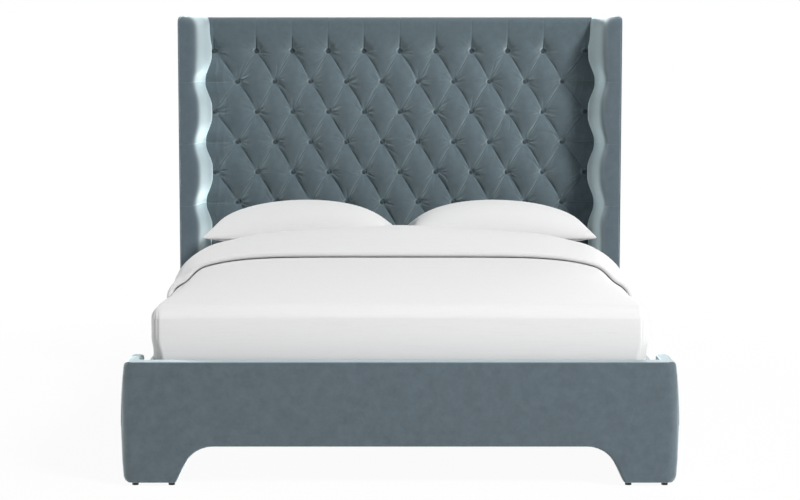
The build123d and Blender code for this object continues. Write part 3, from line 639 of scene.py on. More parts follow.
def tufted_panel():
    """Deep-buttoned front of the headboard, closed behind."""
    step_z = PITCH_Z / ROWS_PER_PITCH
    step_x = PITCH_X / ROWS_PER_PITCH
    half_count = int(round(HALF_SPAN / step_x))
    roll_from = panel_high.z - ROLL_RADIUS
    low_rows = np.linspace(panel_low.z, LAST_ROW_Z - PLAIN_ROWS_FROM, 8)[:-1]
    fade_rows = np.linspace(LAST_ROW_Z - PLAIN_ROWS_FROM, LAST_ROW_Z, 17)[:-1]
    diamond_rows = LAST_ROW_Z + np.arange(0, (ROWS - 1) * ROWS_PER_PITCH + 1) * step_z
    top_rows = np.linspace(ROW_A_Z, roll_from, 34)[1:]
    roll_rows = roll_from + np.sin(np.linspace(0, math.pi / 2, 14)[1:]) * ROLL_RADIUS
    zs = np.concatenate([low_rows, fade_rows, diamond_rows, top_rows, roll_rows])
    first = len(low_rows) + len(fade_rows)
    last = first + len(diamond_rows) - 1
    shifted = [first <= r <= last and (r - first) % 2 == 1 for r in range(len(zs))]
    flat, faces, ends = staggered_rows(zs, shifted, half_count, step_x)
    x, z = flat[:, 0], flat[:, 1]
    height = tuft_height(x, z)
    # The seat of every button stays flat
    for place_x, place_z in button_places():
        distance = np.hypot(x - place_x, z - place_z)
        height *= smooth_step((distance - BUTTON_REST) / BUTTON_EDGE)
    height = height + wrinkles(x, z)
    shift_x, shift_z = bow(x, z)
    wide_x = stretch_outwards(x) + shift_x
    tall_z = z + shift_z
    # Beside the wings' pleats the cloth is drawn out sideways to the wing
    for level in PLEAT_LEVELS:
        for depth, start, run, width in DRAWN_CREASES:
            height -= depth * smooth_step((np.abs(wide_x) - start) / run) * bell(z - level, width)
    wobble = sum(size * np.sin(z * rate + start) for size, rate, start in WOBBLES)
    below_top = smooth_step((ROW_A_Z - z) / UPRIGHT_FOLD_FADE)
    for fold_x, fold_rise in UPRIGHT_FOLDS:
        height += fold_rise * below_top * bell(np.abs(wide_x) - fold_x - wobble, UPRIGHT_FOLD_WIDTH)
    rolled = np.clip(z - roll_from, 0, ROLL_RADIUS)
    height = height - ROLL_RADIUS + np.sqrt(np.maximum(ROLL_RADIUS**2 - rolled**2, 0))
    fill = sum(bell(z - level, NOTCH_FILL_REACH) for level in PLEAT_LEVELS)
    wide_x = np.clip(wide_x, panel_low.x, panel_high.x)
    wide_x += np.sign(wide_x) * NOTCH_FILL * fill * ease(np.abs(wide_x), *NOTCH_FILL_X)
    y = np.clip(SEAT_Y - height, panel_low.y - TUFT_BULGE, panel_high.y - PANEL_BACK)
    front = np.stack([wide_x, y, tall_z], -1)
    first_row = list(range(ends[0][0], ends[0][1] + 1))
    last_row = list(range(ends[-1][0], ends[-1][1] + 1))
    rim = first_row + [e[1] for e in ends[1:]] + last_row[-2::-1] + [e[0] for e in ends[-2:0:-1]]
    back = front[rim].copy()
    back[:, 1] = panel_high.y
    count = len(front)
    total = len(rim)
    solid = [tuple(f) for f in faces]
    for k in range(total):
        a, b = rim[k], rim[(k + 1) % total]
        solid.append((b, a, count + k, count + (k + 1) % total))
    solid.append(tuple(count + k for k in range(total)))
    piece = new_piece(
        "headboard_tufting", np.vstack([front, back]), solid, BED, tufted_velvet,
        "headboard_tufted_panel",
    )


def buttons():
    """Covered buttons, domed, each a little turned."""
    rise = SEAT_Y - button_low.y
    bend = np.linspace(0, math.pi / 2, 7)[:-1]
    dome = [*BUTTON_SHANK, *zip(np.sin(bend), np.cos(bend))]
    turns = np.linspace(0, 2 * math.pi, 20, endpoint=False)
    points = []
    faces = []
    for place_x, place_z in button_places():
        tilt = rng.normal(0, BUTTON_TILT, 2)
        centre_x = float(stretch_outwards(np.array(place_x)))
        rings = []
        for level, width in dome:
            dx = BUTTON_RADIUS * width * np.cos(turns)
            dz = BUTTON_RADIUS * width * np.sin(turns)
            y = SEAT_Y + BUTTON_SINK - rise * level + tilt[0] * dx + tilt[1] * dz
            rings.append(np.stack([centre_x + dx, y, place_z + dz], -1))
        dome_points, dome_faces = loft(rings)
        faces += [tuple(v + len(points) for v in f) for f in dome_faces]
        points += dome_points.tolist()
    new_piece("headboard_buttons", points, faces, BED, button_velvet, "tufting_buttons")


# Wings
WING_TOP = 1.48
WING_OUTER_X = 0.889
WING_FRONT_Y = 0.815
WING_CORNER = 0.034
WING_THICKNESS = 0.053
WING_SKIRT = 0.02
# Cross-section of a wing's padding between the pleats, from its outer edge round to the panel
WING_SECTION = (
    (0.8858, 0.8190), (0.8835, 0.8162), (0.8780, 0.8151), (0.8690, 0.8150), (0.8590, 0.8151),
    (0.8490, 0.8155), (0.8390, 0.8165), (0.8300, 0.8183), (0.8220, 0.8215), (0.8155, 0.8265),
    (0.8105, 0.8340), (0.8065, 0.8450), (0.8030, 0.8610), (0.7995, 0.8830), (0.7957, 0.9080),
    (0.7915, 0.9360), (0.7867, 0.9640), (0.7815, 0.9900), (0.7765, 1.0130), (0.7730, 1.0290),
    (0.7760, 1.0440),
)
WING_SEAM_X = WING_SECTION[0][0]
# Where the padding lies against the board, at its back and front ends
PADDING_BACK = (0.862, 1.0455)
PADDING_FRONT = (0.868, 0.87)
PADDING_BACK_Y = 1.038
PADDING_THIN_X = 0.8355
# Where the section turns from the wing's front to its inside, and runs inwards from its seam
INWARD_Y = (0.83, 0.97)
SEAM_RUN = 0.01
NOTCH_RUN = 0.03
LEAN_RUN = 0.045
WING_LEAN_FROM = 0.06
WING_LEAN = 0.034
NOTCH_REACH = 0.056
NOTCH_FRONT = 0.018
NOTCH_BACK = 0.023
LOW_LOSS = 0.3
LOW_FROM = 0.04
LOW_RUN = 0.12
TOP_DRAW = 0.008
TOP_DRAW_FROM = 0.03
TOP_DRAW_RUN = 0.05
TOP_ROUND = 0.016
TOP_ROUND_X = (0.845, 0.88)
TOP_ROUND_Y = (WING_FRONT_Y + 0.015, WING_FRONT_Y + 0.085)
SEAM_DEPTH = 0.0009
SEAM_WIDTH = 0.0024
# Outline of the board inside a wing, with its inner front edge planed off
BOARD_OUTER_X = 0.866
BOARD_INNER_X = 0.8375
BOARD_FRONT_Y = 0.8225
BOARD_BACK_Y = 1.102
WING_BOARD = (
    (BOARD_OUTER_X, BOARD_FRONT_Y),
    (0.858, BOARD_FRONT_Y),
    (0.846, 0.842),
    (BOARD_INNER_X, 0.862),
    (BOARD_INNER_X, BOARD_BACK_Y),
    (BOARD_OUTER_X, BOARD_BACK_Y),
)
BOARD_CORNER = 0.03
BOARD_CORNER_Y = 0.9
# Outer cover, the cap that it forms over the board's top, and the welt
SIDE_ROUND = 0.008
SIDE_SHIFT = 0.004
SIDE_EDGE = 0.02
CAP_FORWARD = 0.03
CAP_DROP = 0.003
CAP_DROP_RUN = 0.01
CAP_OVER = 0.004
CAP_THICKNESS = 0.001
CAP_BELOW_TOP = 0.0003
WELT_RADIUS = 0.0024
WELT_INSET = 0.0025
WELT_END = 0.004


def wing_levels():
    """Heights of a wing's rings, closer together beside the pleats and at the rounded top."""
    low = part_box("wing_outer_cover_left")[0].z
    skirt = panel_low.z - WING_SKIRT
    found = [*np.linspace(low, skirt, 8)[:-1], *np.linspace(skirt, panel_low.z, 6)[:-1]]
    marks = [panel_low.z, *PLEAT_LEVELS[::-1], WING_TOP - WING_CORNER]
    steps = 0.5 - 0.5 * np.cos(math.pi * np.linspace(0, 1, 40)[:-1])
    for a, b in zip(marks, marks[1:]):
        found += [*(a + (b - a) * steps)]
    turn = np.linspace(0, math.pi / 2, 14)
    return np.array([*found, *(marks[-1] + WING_CORNER * np.sin(turn))])


def swell(z):
    """0 at the pleats of a wing and 1 between them."""
    pinched = sum(bell(z - level, NOTCH_REACH) for level in PLEAT_LEVELS)
    full = 1 - LOW_LOSS * smooth_step((PLEAT_LEVELS[-1] - LOW_FROM - z) / LOW_RUN)
    return max(0.0, full - pinched)


def top_corner(x, y, z):
    """How far the wing's outer top corner is rounded inwards at the front."""
    ahead = 1 - ease(y, *TOP_ROUND_Y)
    return TOP_ROUND * quarter((z - WING_TOP + TOP_ROUND) / TOP_ROUND) * ahead * ease(x, *TOP_ROUND_X)


def round_fall(radius, past):
    """Fall of a corner of a radius, at a distance past its start."""
    return radius - math.sqrt(max(radius**2 - max(past, 0) ** 2, 0))


def wing(side, side_name):
    """Padded inner face and front of a wing, pinched where the pleats end."""
    px, py = np.array(WING_SECTION).T
    inward = np.clip((py - INWARD_Y[0]) / (INWARD_Y[1] - INWARD_Y[0]), 0, 1)
    past_seam = np.minimum((py - WING_FRONT_Y) / SEAM_RUN, 1)
    notch = NOTCH_FRONT + (NOTCH_BACK - NOTCH_FRONT) * inward
    notch *= np.minimum((WING_SEAM_X - px) / NOTCH_RUN, 1)
    front = (1 - inward) * np.minimum((WING_SEAM_X - px) / LEAN_RUN, 1)
    rings = []
    for z in wing_levels():
        inset = round_fall(WING_CORNER, z - WING_TOP + WING_CORNER)
        seam = SEAM_DEPTH * max(bell(z - level, SEAM_WIDTH) for level in PLEAT_LEVELS)
        thin = smooth_step((panel_low.z - z) / WING_SKIRT)
        upper = smooth_step((z - PLEAT_LEVELS[0] - TOP_DRAW_FROM) / TOP_DRAW_RUN)
        lean = WING_LEAN * quarter((z - WING_TOP + WING_LEAN_FROM) / WING_LEAN_FROM)
        x = px + (1 - swell(z)) * notch + 0.5 * inset * inward + seam * past_seam
        x += (upper * TOP_DRAW + lean) * front
        y = py + (inset + seam) * (1 - inward)
        x = np.maximum(x, PADDING_THIN_X * thin) - top_corner(px, y, z)
        x = np.append(x, (PADDING_BACK[0], PADDING_FRONT[0]))
        y = np.append(y, (PADDING_BACK[1], PADDING_FRONT[1] + inset))
        rings.append(np.stack([side * x, y, np.full(len(x), z)], -1))
    points, faces = loft(rings)
    if side > 0:
        faces = turned(faces)
    piece = new_piece(
        f"wing_inner_{side_name}", points, faces, BED, wing_velvet, f"wing_padding_{side_name}"
    )
    modifier = piece.modifiers.new("smooth", "SUBSURF")
    modifier.levels = 1
    modifier.render_levels = 1


def wing_board(side, side_name):
    """Board inside a wing, with its front top corner cut round."""
    low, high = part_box(f"wing_board_{side_name}")
    turn = np.linspace(0, math.pi / 2, 8)
    rings = []
    for z in (low.z, *(high.z - BOARD_CORNER + BOARD_CORNER * np.sin(turn))):
        back = round_fall(BOARD_CORNER, z - high.z + BOARD_CORNER)
        rings.append([(side * x, y + (back if y < BOARD_CORNER_Y else 0), z) for x, y in WING_BOARD])
    points, faces = loft(rings)
    if side < 0:
        faces = turned(faces)
    new_piece(
        f"wing_panel_{side_name}", points, faces, BED, frame_wood, f"wing_board_{side_name}",
        smooth=False,
    )


def wing_side(side, side_name):
    """Outer side of a wing: cloth pulled over thin padding, rounded along its edges."""
    low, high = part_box(f"wing_outer_cover_{side_name}")
    front_y = low.y + SIDE_SHIFT
    xs = np.linspace(BOARD_OUTER_X, WING_OUTER_X, 7)
    ys = places(front_y, high.y, SIDE_EDGE, 6, 12)
    zs = places(low.z, high.z, WING_CORNER, 8, 50)
    points, faces = box_mesh(xs, ys, zs)
    corner_low = (BOARD_OUTER_X - 2 * SIDE_ROUND, front_y, low.z)
    corner_high = (WING_OUTER_X, high.y + SIDE_SHIFT, high.z)
    points = round_off(points, corner_low, corner_high, (SIDE_ROUND,) * 3)
    # The front top corner is round in side view
    corner_y, corner_z = low.y + WING_CORNER, high.z - WING_CORNER
    dy = corner_y - points[:, 1]
    dz = points[:, 2] - corner_z
    inside = (dy > 0) & (dz > 0)
    reach = np.maximum(np.maximum(dy, dz), TINY)
    scale = np.where(inside, reach / np.maximum(np.hypot(dy, dz), TINY), 1)
    points[:, 1] = np.where(inside, corner_y - dy * scale, points[:, 1])
    points[:, 2] = np.where(inside, corner_z + dz * scale, points[:, 2])
    points[:, 0] -= top_corner(*points.T)
    # Behind the padding the cloth is folded over the board's top
    board_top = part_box(f"wing_board_{side_name}")[1].z
    cap_x = np.linspace(WING_OUTER_X - WING_THICKNESS, BOARD_OUTER_X + CAP_OVER, 4)
    cap_y = np.linspace(PADDING_BACK_Y - CAP_FORWARD, high.y, 10)
    cap_z = np.linspace(board_top - CAP_THICKNESS, high.z - CAP_BELOW_TOP, 3)
    cap_points, cap_faces = box_mesh(cap_x, cap_y, cap_z)
    cap_points[:, 2] -= CAP_DROP * smooth_step((PADDING_BACK_Y - cap_points[:, 1]) / CAP_DROP_RUN)
    faces += [tuple(v + len(points) for v in f) for f in cap_faces]
    points = np.vstack([points, cap_points])
    points[:, 0] *= side
    if side < 0:
        faces = turned(faces)
    piece = new_piece(
        f"wing_side_{side_name}", points, faces, BED, side_velvet,
        f"wing_outer_cover_{side_name}",
    )


def wing_welt(side, side_name):
    """Welt up a wing's front edge, round its corner and back over its top."""
    low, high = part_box(f"wing_outer_cover_{side_name}")
    x = WING_OUTER_X - WELT_INSET
    radius = WING_CORNER - WELT_INSET
    corner_y, corner_z = WING_FRONT_Y + WING_CORNER, high.z - WING_CORNER
    path = [(x, WING_FRONT_Y + WELT_INSET, z) for z in np.linspace(low.z, corner_z, 40)]
    turns = np.linspace(0, math.pi / 2, 14)[1:]
    path += [(x, corner_y - radius * math.cos(t), corner_z + radius * math.sin(t)) for t in turns]
    path += [(x, y, high.z - WELT_INSET) for y in np.linspace(path[-1][1], high.y - WELT_END, 20)[1:]]
    path = np.array(path)
    path[:, 0] -= top_corner(*path.T)
    path[:, 0] *= side
    tube(f"welt_{side_name}", path, WELT_RADIUS, BED, welt_velvet, f"wing_welt_{side_name}")


BACK_CLOTH = 0.003
BACK_PULL = 0.0022
BACK_PULL_FROM = 0.1
BACK_SOFT = 0.006
BACK_STAPLES = 2 * math.pi / 0.07
SMALL_SLACK = 0.35
SMALL_SLACK_RATE = 2.3


def back_cover():
    """Cloth drawn over the back and folded forward over the frame's top."""
    low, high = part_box("headboard_back_cover")
    flap_half = WING_OUTER_X - WING_THICKNESS
    over = np.linspace(low.y, high.y - BACK_SOFT, 8)[:-1]
    bend = np.linspace(0, math.pi / 2, 7)
    down = np.linspace(high.z - BACK_SOFT, low.z, 120)[1:]
    profile = [(y, high.z) for y in over]
    profile += [
        (high.y - BACK_SOFT * (1 - math.sin(t)), high.z - BACK_SOFT * (1 - math.cos(t))) for t in bend
    ]
    profile += [(high.y, z) for z in down]
    columns = np.concatenate([[-WING_OUTER_X], np.linspace(-flap_half, flap_half, 140), [WING_OUTER_X]])
    # Slack between the staples along the lower edge
    slack = np.sin(columns * BACK_STAPLES)
    slack += SMALL_SLACK * np.sin(columns * BACK_STAPLES * SMALL_SLACK_RATE + 1)
    slack = BACK_PULL * np.maximum(slack, 0)
    outer = []
    inner = []
    for y, z in profile:
        under_y, under_z = min(y, high.y - BACK_CLOTH), min(z, high.z - BACK_CLOTH)
        half = flap_half if y < high.y - BACK_CLOTH else WING_OUTER_X
        xs = np.clip(columns, -half, half)
        hang = slack * smooth_step((low.z + BACK_PULL_FROM - z) / BACK_PULL_FROM)
        level = np.ones(len(xs))
        outer.append(np.stack([xs, y - hang, z * level], -1))
        inner.append(np.stack([xs, under_y * level, under_z * level], -1))
    faces = grid_faces(len(profile), len(columns))
    points, solid = thicken(np.array(outer).reshape(-1, 3), faces, np.array(inner).reshape(-1, 3))
    piece = new_piece(
        "headboard_back_cloth", points, solid, BED, back_velvet, "headboard_back_cover"
    )


VOXEL = 0.005


def soft_copy(node, name, finish, rounds):
    """A remeshed and smoothed copy of a CAD cover, with soft edges."""
    mesh = nodes[node].data.copy()
    mesh.materials.clear()
    piece = new_object(name, mesh)
    remesh = piece.modifiers.new("remesh", "REMESH")
    remesh.mode = "VOXEL"
    remesh.voxel_size = VOXEL
    remesh.use_smooth_shade = True
    relax = piece.modifiers.new("relax", "SMOOTH")
    relax.factor = 0.5
    relax.iterations = rounds
    bpy.context.view_layer.update()
    graph = bpy.context.evaluated_depsgraph_get()
    made = bpy.data.meshes.new_from_object(piece.evaluated_get(graph))
    piece.modifiers.clear()
    piece.data = made
    made.materials.append(finish)
    made.polygons.foreach_set("use_smooth", [True] * len(made.polygons))
    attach(piece, BED)
    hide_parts(node)
    return piece


FOOTBOARD_TOP_TAPER = 0.0125
FOOTBOARD_BOTTOM_TAPER = 0.0075
FOOTBOARD_CAD_EDGE = 0.020
FOOTBOARD_EDGE_X = 0.034
FOOTBOARD_EDGE_Y = 0.031
FOOTBOARD_SKIN = 0.005
FOOTBOARD_CORNER = 0.013
FOOTBOARD_SAG = 0.0027
FOOTBOARD_SAG_FROM = 0.04


def footboard():
    """Footboard's padded cover, with broad rounded ends, softer top corners and a low edge that sags."""
    low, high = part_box("footboard_cover")
    piece = soft_copy("footboard_cover", "footboard_upholstery", footboard_velvet, 8)
    mesh = piece.data
    points = np.empty(len(mesh.vertices) * 3)
    mesh.vertices.foreach_get("co", points)
    points = points.reshape(-1, 3)
    x, y, z = np.abs(points[:, 0]), points[:, 1], points[:, 2]
    side = np.sign(points[:, 0])
    middle = (low.z + high.z) / 2
    share = (z - middle) / (high.z - middle)
    taper = np.where(share > 0, FOOTBOARD_TOP_TAPER, FOOTBOARD_BOTTOM_TAPER)
    half = high.x - taper * share**2
    broad = FOOTBOARD_EDGE_Y * quarter((x - half + FOOTBOARD_EDGE_X) / FOOTBOARD_EDGE_X)
    narrow = FOOTBOARD_CAD_EDGE * quarter((x - half + FOOTBOARD_CAD_EDGE) / FOOTBOARD_CAD_EDGE)
    outside = y - low.y < narrow + FOOTBOARD_SKIN
    points[:, 1] = y + np.where(outside, np.maximum(broad - narrow, 0), 0)
    corner = half - FOOTBOARD_CORNER * quarter((z - high.z + FOOTBOARD_CORNER) / FOOTBOARD_CORNER)
    points[:, 0] = side * np.minimum(x, corner)
    points[:, 2] = z - FOOTBOARD_SAG * smooth_step((low.z + FOOTBOARD_SAG_FROM - z) / FOOTBOARD_SAG_FROM)
    mesh.vertices.foreach_set("co", points.ravel())
    mesh.update()


tufted_panel()
buttons()
for side, side_name in SIDES:
    wing(side, side_name)
    wing_board(side, side_name)
    wing_side(side, side_name)
    wing_welt(side, side_name)
back_cover()
footboard()
for side, side_name in SIDES:
    soft_copy(
        f"side_rail_cover_{side_name}", f"side_rail_upholstery_{side_name}", rail_velvet, 3
    )

# Bedding
mattress_low, mattress_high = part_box("mattress")
coverlet_low, coverlet_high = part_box("coverlet")
fold_low, fold_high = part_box("duvet_turn_down")
COVERLET_RADII = np.array((0.062, 0.055, 0.05))
FOOT_RADII = np.array((0.036, 0.055, 0.05))
FOOT_REACH = 0.5
COVERLET_BOX_TOP = 0.592
COVERLET_LIFT_FROM = 0.44
COVERLET_CLOTH = 0.0085
TOUCH = 0.0006
MATTRESS_INSIDE = 0.0115
MATTRESS_RADII = (0.06, 0.06, 0.016)
MATTRESS_EDGE_Z = 0.02
MATTRESS_CLEARANCE = 0.003
MATTRESS_HEAD_Y = mattress_high.y + MATTRESS_CLEARANCE - TUFT_BULGE
CROWN = 0.0308
FOOT_CROWN = 0.0036
CROWN_AT_X = 0.698
CROWN_POWER = 6
RIDGE_POWER = 1.8
FOLD_TOP_Z = 0.583
FRONT_TOP_Z = 0.551
FOLD_Y = 0.095


def coverlet_top(x, y):
    """Height of the made-up top: crowned across, and rising from the foot to the fold."""
    t = np.clip((y - coverlet_low.y) / (FOLD_Y - coverlet_low.y), 0, 1)
    ridge = FRONT_TOP_Z + (FOLD_TOP_Z - FRONT_TOP_Z) * (1 - (1 - t) ** RIDGE_POWER)
    crown = FOOT_CROWN + (CROWN - FOOT_CROWN) * smooth_step(t * 1.3)
    return ridge - crown * np.abs(x / CROWN_AT_X) ** CROWN_POWER


def edge_radii(y, inset):
    """Radii of the coverlet's edges, smaller at the foot."""
    share = smooth_step((y - coverlet_low.y) / FOOT_REACH)[:, None]
    return FOOT_RADII + (COVERLET_RADII - FOOT_RADII) * share - inset


def drape_height(x, y, inset):
    """Height of the made-up bed's rounded top, a little inside the coverlet's surface."""
    radius_x, radius_y, radius_z = edge_radii(y, inset).T
    across = np.clip((np.abs(x) - (coverlet_high.x - inset - radius_x)) / radius_x, 0, 1)
    along = np.clip((coverlet_low.y + inset + radius_y - y) / radius_y, 0, 1)
    return coverlet_top(x, y) - inset - radius_z * quarter(np.hypot(across, along))


def mattress():
    """Mattress with rounded corners, softer at the top edges that the coverlet turns over.

    Its head end keeps clear of the bulging tufts when it is lifted.
    """
    high = Vector((mattress_high.x, MATTRESS_HEAD_Y, mattress_high.z))
    edge_x, edge_y, _ = MATTRESS_RADII
    xs = places(mattress_low.x, high.x, edge_x, 16, 30)
    ys = places(mattress_low.y, high.y, edge_y, 16, 40)
    zs = places(mattress_low.z, high.z, MATTRESS_EDGE_Z, 6, 12)
    points, faces = box_mesh(xs, ys, zs)
    points = round_off(points, mattress_low, high, MATTRESS_RADII)
    limit = np.maximum(drape_height(points[:, 0], points[:, 1], MATTRESS_INSIDE), COVERLET_LIFT_FROM)
    points[:, 2] = np.minimum(points[:, 2], limit)
    piece = new_piece("mattress_body", points, faces, BEDDING, ticking, "mattress")


# Where the coverlet's sides stand out towards the fold
FLARE = 0.062
FLARE_X = (0.70, 0.77)
FLARE_Y = (-0.95, 0.10)
FLARE_END_Y = (0.42, 0.12)
FLARE_Z = (0.345, 0.435)
FLARE_END_Z = (0.58, 0.43)
# Where the lower corners of its foot end are drawn in
TUCK = 0.013
TUCK_X = (0.69, 0.76)
TUCK_Y = (0.10, 0.02)
TUCK_Z = (0.45, 0.38)


def coverlet_points(points, inset):
    """Box points drawn onto the coverlet's shape, a given distance inside its outer surface."""
    half = coverlet_high.x
    front = coverlet_low.y + inset
    shape = points.copy()
    shape[:, 0] *= (half - inset) / half
    squeeze = (coverlet_high.y - front) / (coverlet_high.y - coverlet_low.y)
    shape[:, 1] = coverlet_high.y - (coverlet_high.y - shape[:, 1]) * squeeze
    low = (inset - half, front, coverlet_low.z - 1)
    high = (half - inset, coverlet_high.y + 1, COVERLET_BOX_TOP)
    shape = round_off(shape, low, high, edge_radii(shape[:, 1], inset))
    x, y, z = shape.T.copy()
    lift = ease(z, COVERLET_LIFT_FROM, COVERLET_BOX_TOP)
    shape[:, 2] += lift * (coverlet_top(x, y) - COVERLET_BOX_TOP - inset)
    if inset == 0:
        out = ease(y, *FLARE_Y) * ease(y, *FLARE_END_Y) * ease(z, *FLARE_Z) * ease(z, *FLARE_END_Z)
        shape[:, 0] += np.sign(x) * FLARE * out * ease(np.abs(x), *FLARE_X)
    tuck = ease(z, *TUCK_Z) * ease(y - front, *TUCK_Y)
    shape[:, 0] -= np.sign(x) * TUCK * tuck * ease(np.abs(x), *TUCK_X)
    return shape


CREASE_X = (0.7485, 0.7575)
CREASE_Y = (0.03, 0.02)
CREASE_Z = (0.538, 0.518)
CREASE_DEPTH = 0.0016
CREASE_WIDTH = 0.0018
HEM_FOLD = 0.0035
HEM_FOLD_Y = 0.04
HEM_FOLD_Z = (0.375, 0.33)
HEM_FOLD_RATES = (30, 110)
WIDE_END_Y = 0.805
HEAD_HALF_X = 0.75
COVERLET_EDGE = 0.09


def coverlet():
    """Coverlet, smooth over the top and straight down both sides and the foot."""
    edge_x = coverlet_high.x - COVERLET_RADII[0]
    edge_columns = np.linspace(edge_x, coverlet_high.x, 48)
    middle_columns = np.linspace(-edge_x, edge_x, 150)[1:-1]
    xs = np.concatenate([-edge_columns[::-1], middle_columns, edge_columns])
    front_end = coverlet_low.y + COVERLET_EDGE
    ys = np.concatenate(
        [
            np.linspace(coverlet_low.y, front_end, 30),
            np.linspace(front_end, WIDE_END_Y, 60)[1:],
            np.linspace(WIDE_END_Y, coverlet_high.y, 8)[1:],
        ]
    )
    bend = COVERLET_BOX_TOP - COVERLET_EDGE
    zs = np.concatenate([np.linspace(coverlet_low.z, bend, 24), np.linspace(bend, COVERLET_BOX_TOP, 24)[1:]])
    points, faces = box_mesh(xs, ys, zs, without=("bottom", "back"))
    keep = []
    for face in faces:
        x, y, z = points[list(face)].mean(axis=0)
        if y < WIDE_END_Y or (abs(x) < HEAD_HALF_X and z > COVERLET_BOX_TOP - TOUCH):
            keep.append(face)
    used = sorted({v for f in keep for v in f})
    renumber = {v: i for i, v in enumerate(used)}
    points = points[used]
    faces = [tuple(renumber[v] for v in f) for f in keep]
    outer = coverlet_points(points, 0.0)
    inner = coverlet_points(points, COVERLET_CLOTH)
    inner[:, 2] = np.minimum(inner[:, 2], mattress_high.z + TOUCH)
    # Two rows of stitching down each front corner
    x, y, z = outer.T
    corner = ease(y - coverlet_low.y, *CREASE_Y) * ease(z, *CREASE_Z)
    for crease_x in CREASE_X:
        groove = CREASE_DEPTH * corner * bell(np.abs(x) - crease_x, CREASE_WIDTH)
        outer[:, 1] += groove
        outer[:, 0] -= np.sign(x) * groove
    # Slack in the cloth where the foot end is tucked in
    low_down = ease(z, *HEM_FOLD_Z) * (y < coverlet_low.y + HEM_FOLD_Y)
    outer[:, 1] += HEM_FOLD * low_down * np.maximum(waves(x, 5, *HEM_FOLD_RATES, rng), 0)
    points, faces = thicken(outer, faces, inner)
    piece = new_piece("bed_coverlet", points, faces, BEDDING, coverlet_cotton, "coverlet")


def section_curve(knots, count):
    """Points at even steps along a smooth curve through knots, from one side to the other."""
    knots = np.array(knots, float)
    full = np.vstack([knots[:0:-1] * (-1, 1), knots])
    lengths = np.concatenate([[0], np.cumsum(np.linalg.norm(np.diff(full, axis=0), axis=1))])
    fine = np.linspace(0, lengths[-1], 600)
    curve = np.stack([np.interp(fine, lengths, full[:, 0]), np.interp(fine, lengths, full[:, 1])], -1)
    kernel = np.ones(25) / 25
    padded = np.vstack([np.repeat(curve[:1], 12, 0), curve, np.repeat(curve[-1:], 12, 0)])
    smooth = np.stack([np.convolve(padded[:, i], kernel, "valid") for i in (0, 1)], -1)
    pick = np.linspace(0, len(smooth) - 1, count).round().astype(int)
    return smooth[pick]


FOLD_LIP = 0.0095
FOLD_GAP = 0.0042
FOLD_TUCK = 0.032
FOLD_START = 0.001
FOLD_COUNT = 161
# The fold's highest line over one half of the bed, and how its section swells to it and falls away
FOLD_CREST = (
    (0, 0.683), (0.31, 0.668), (0.546, 0.648), (0.72, 0.607), (0.796, 0.561), (0.845, 0.506), (0.866, 0.415),
)
SWELL_SHARE = 0.7
SWELL_POWER = 1.9
FALL_SHARE = 0.95
FALL_POWER = 2.4
# Place, slant and depth of the soft folds over the sides
SIDE_FOLDS = ((0.145, 0.35, 0.0035), (0.205, 0.55, 0.0045), (0.285, 0.5, 0.003))
SIDE_FOLD_WIDTH = 0.012
SIDE_FOLD_Z = 0.55
SIDE_FOLD_X = (0.68, 0.78)
SIDE_FOLD_Y = (FOLD_Y + 0.02, FOLD_Y + 0.07)
SIDE_FOLD_END_Y = (0.40, 0.30)


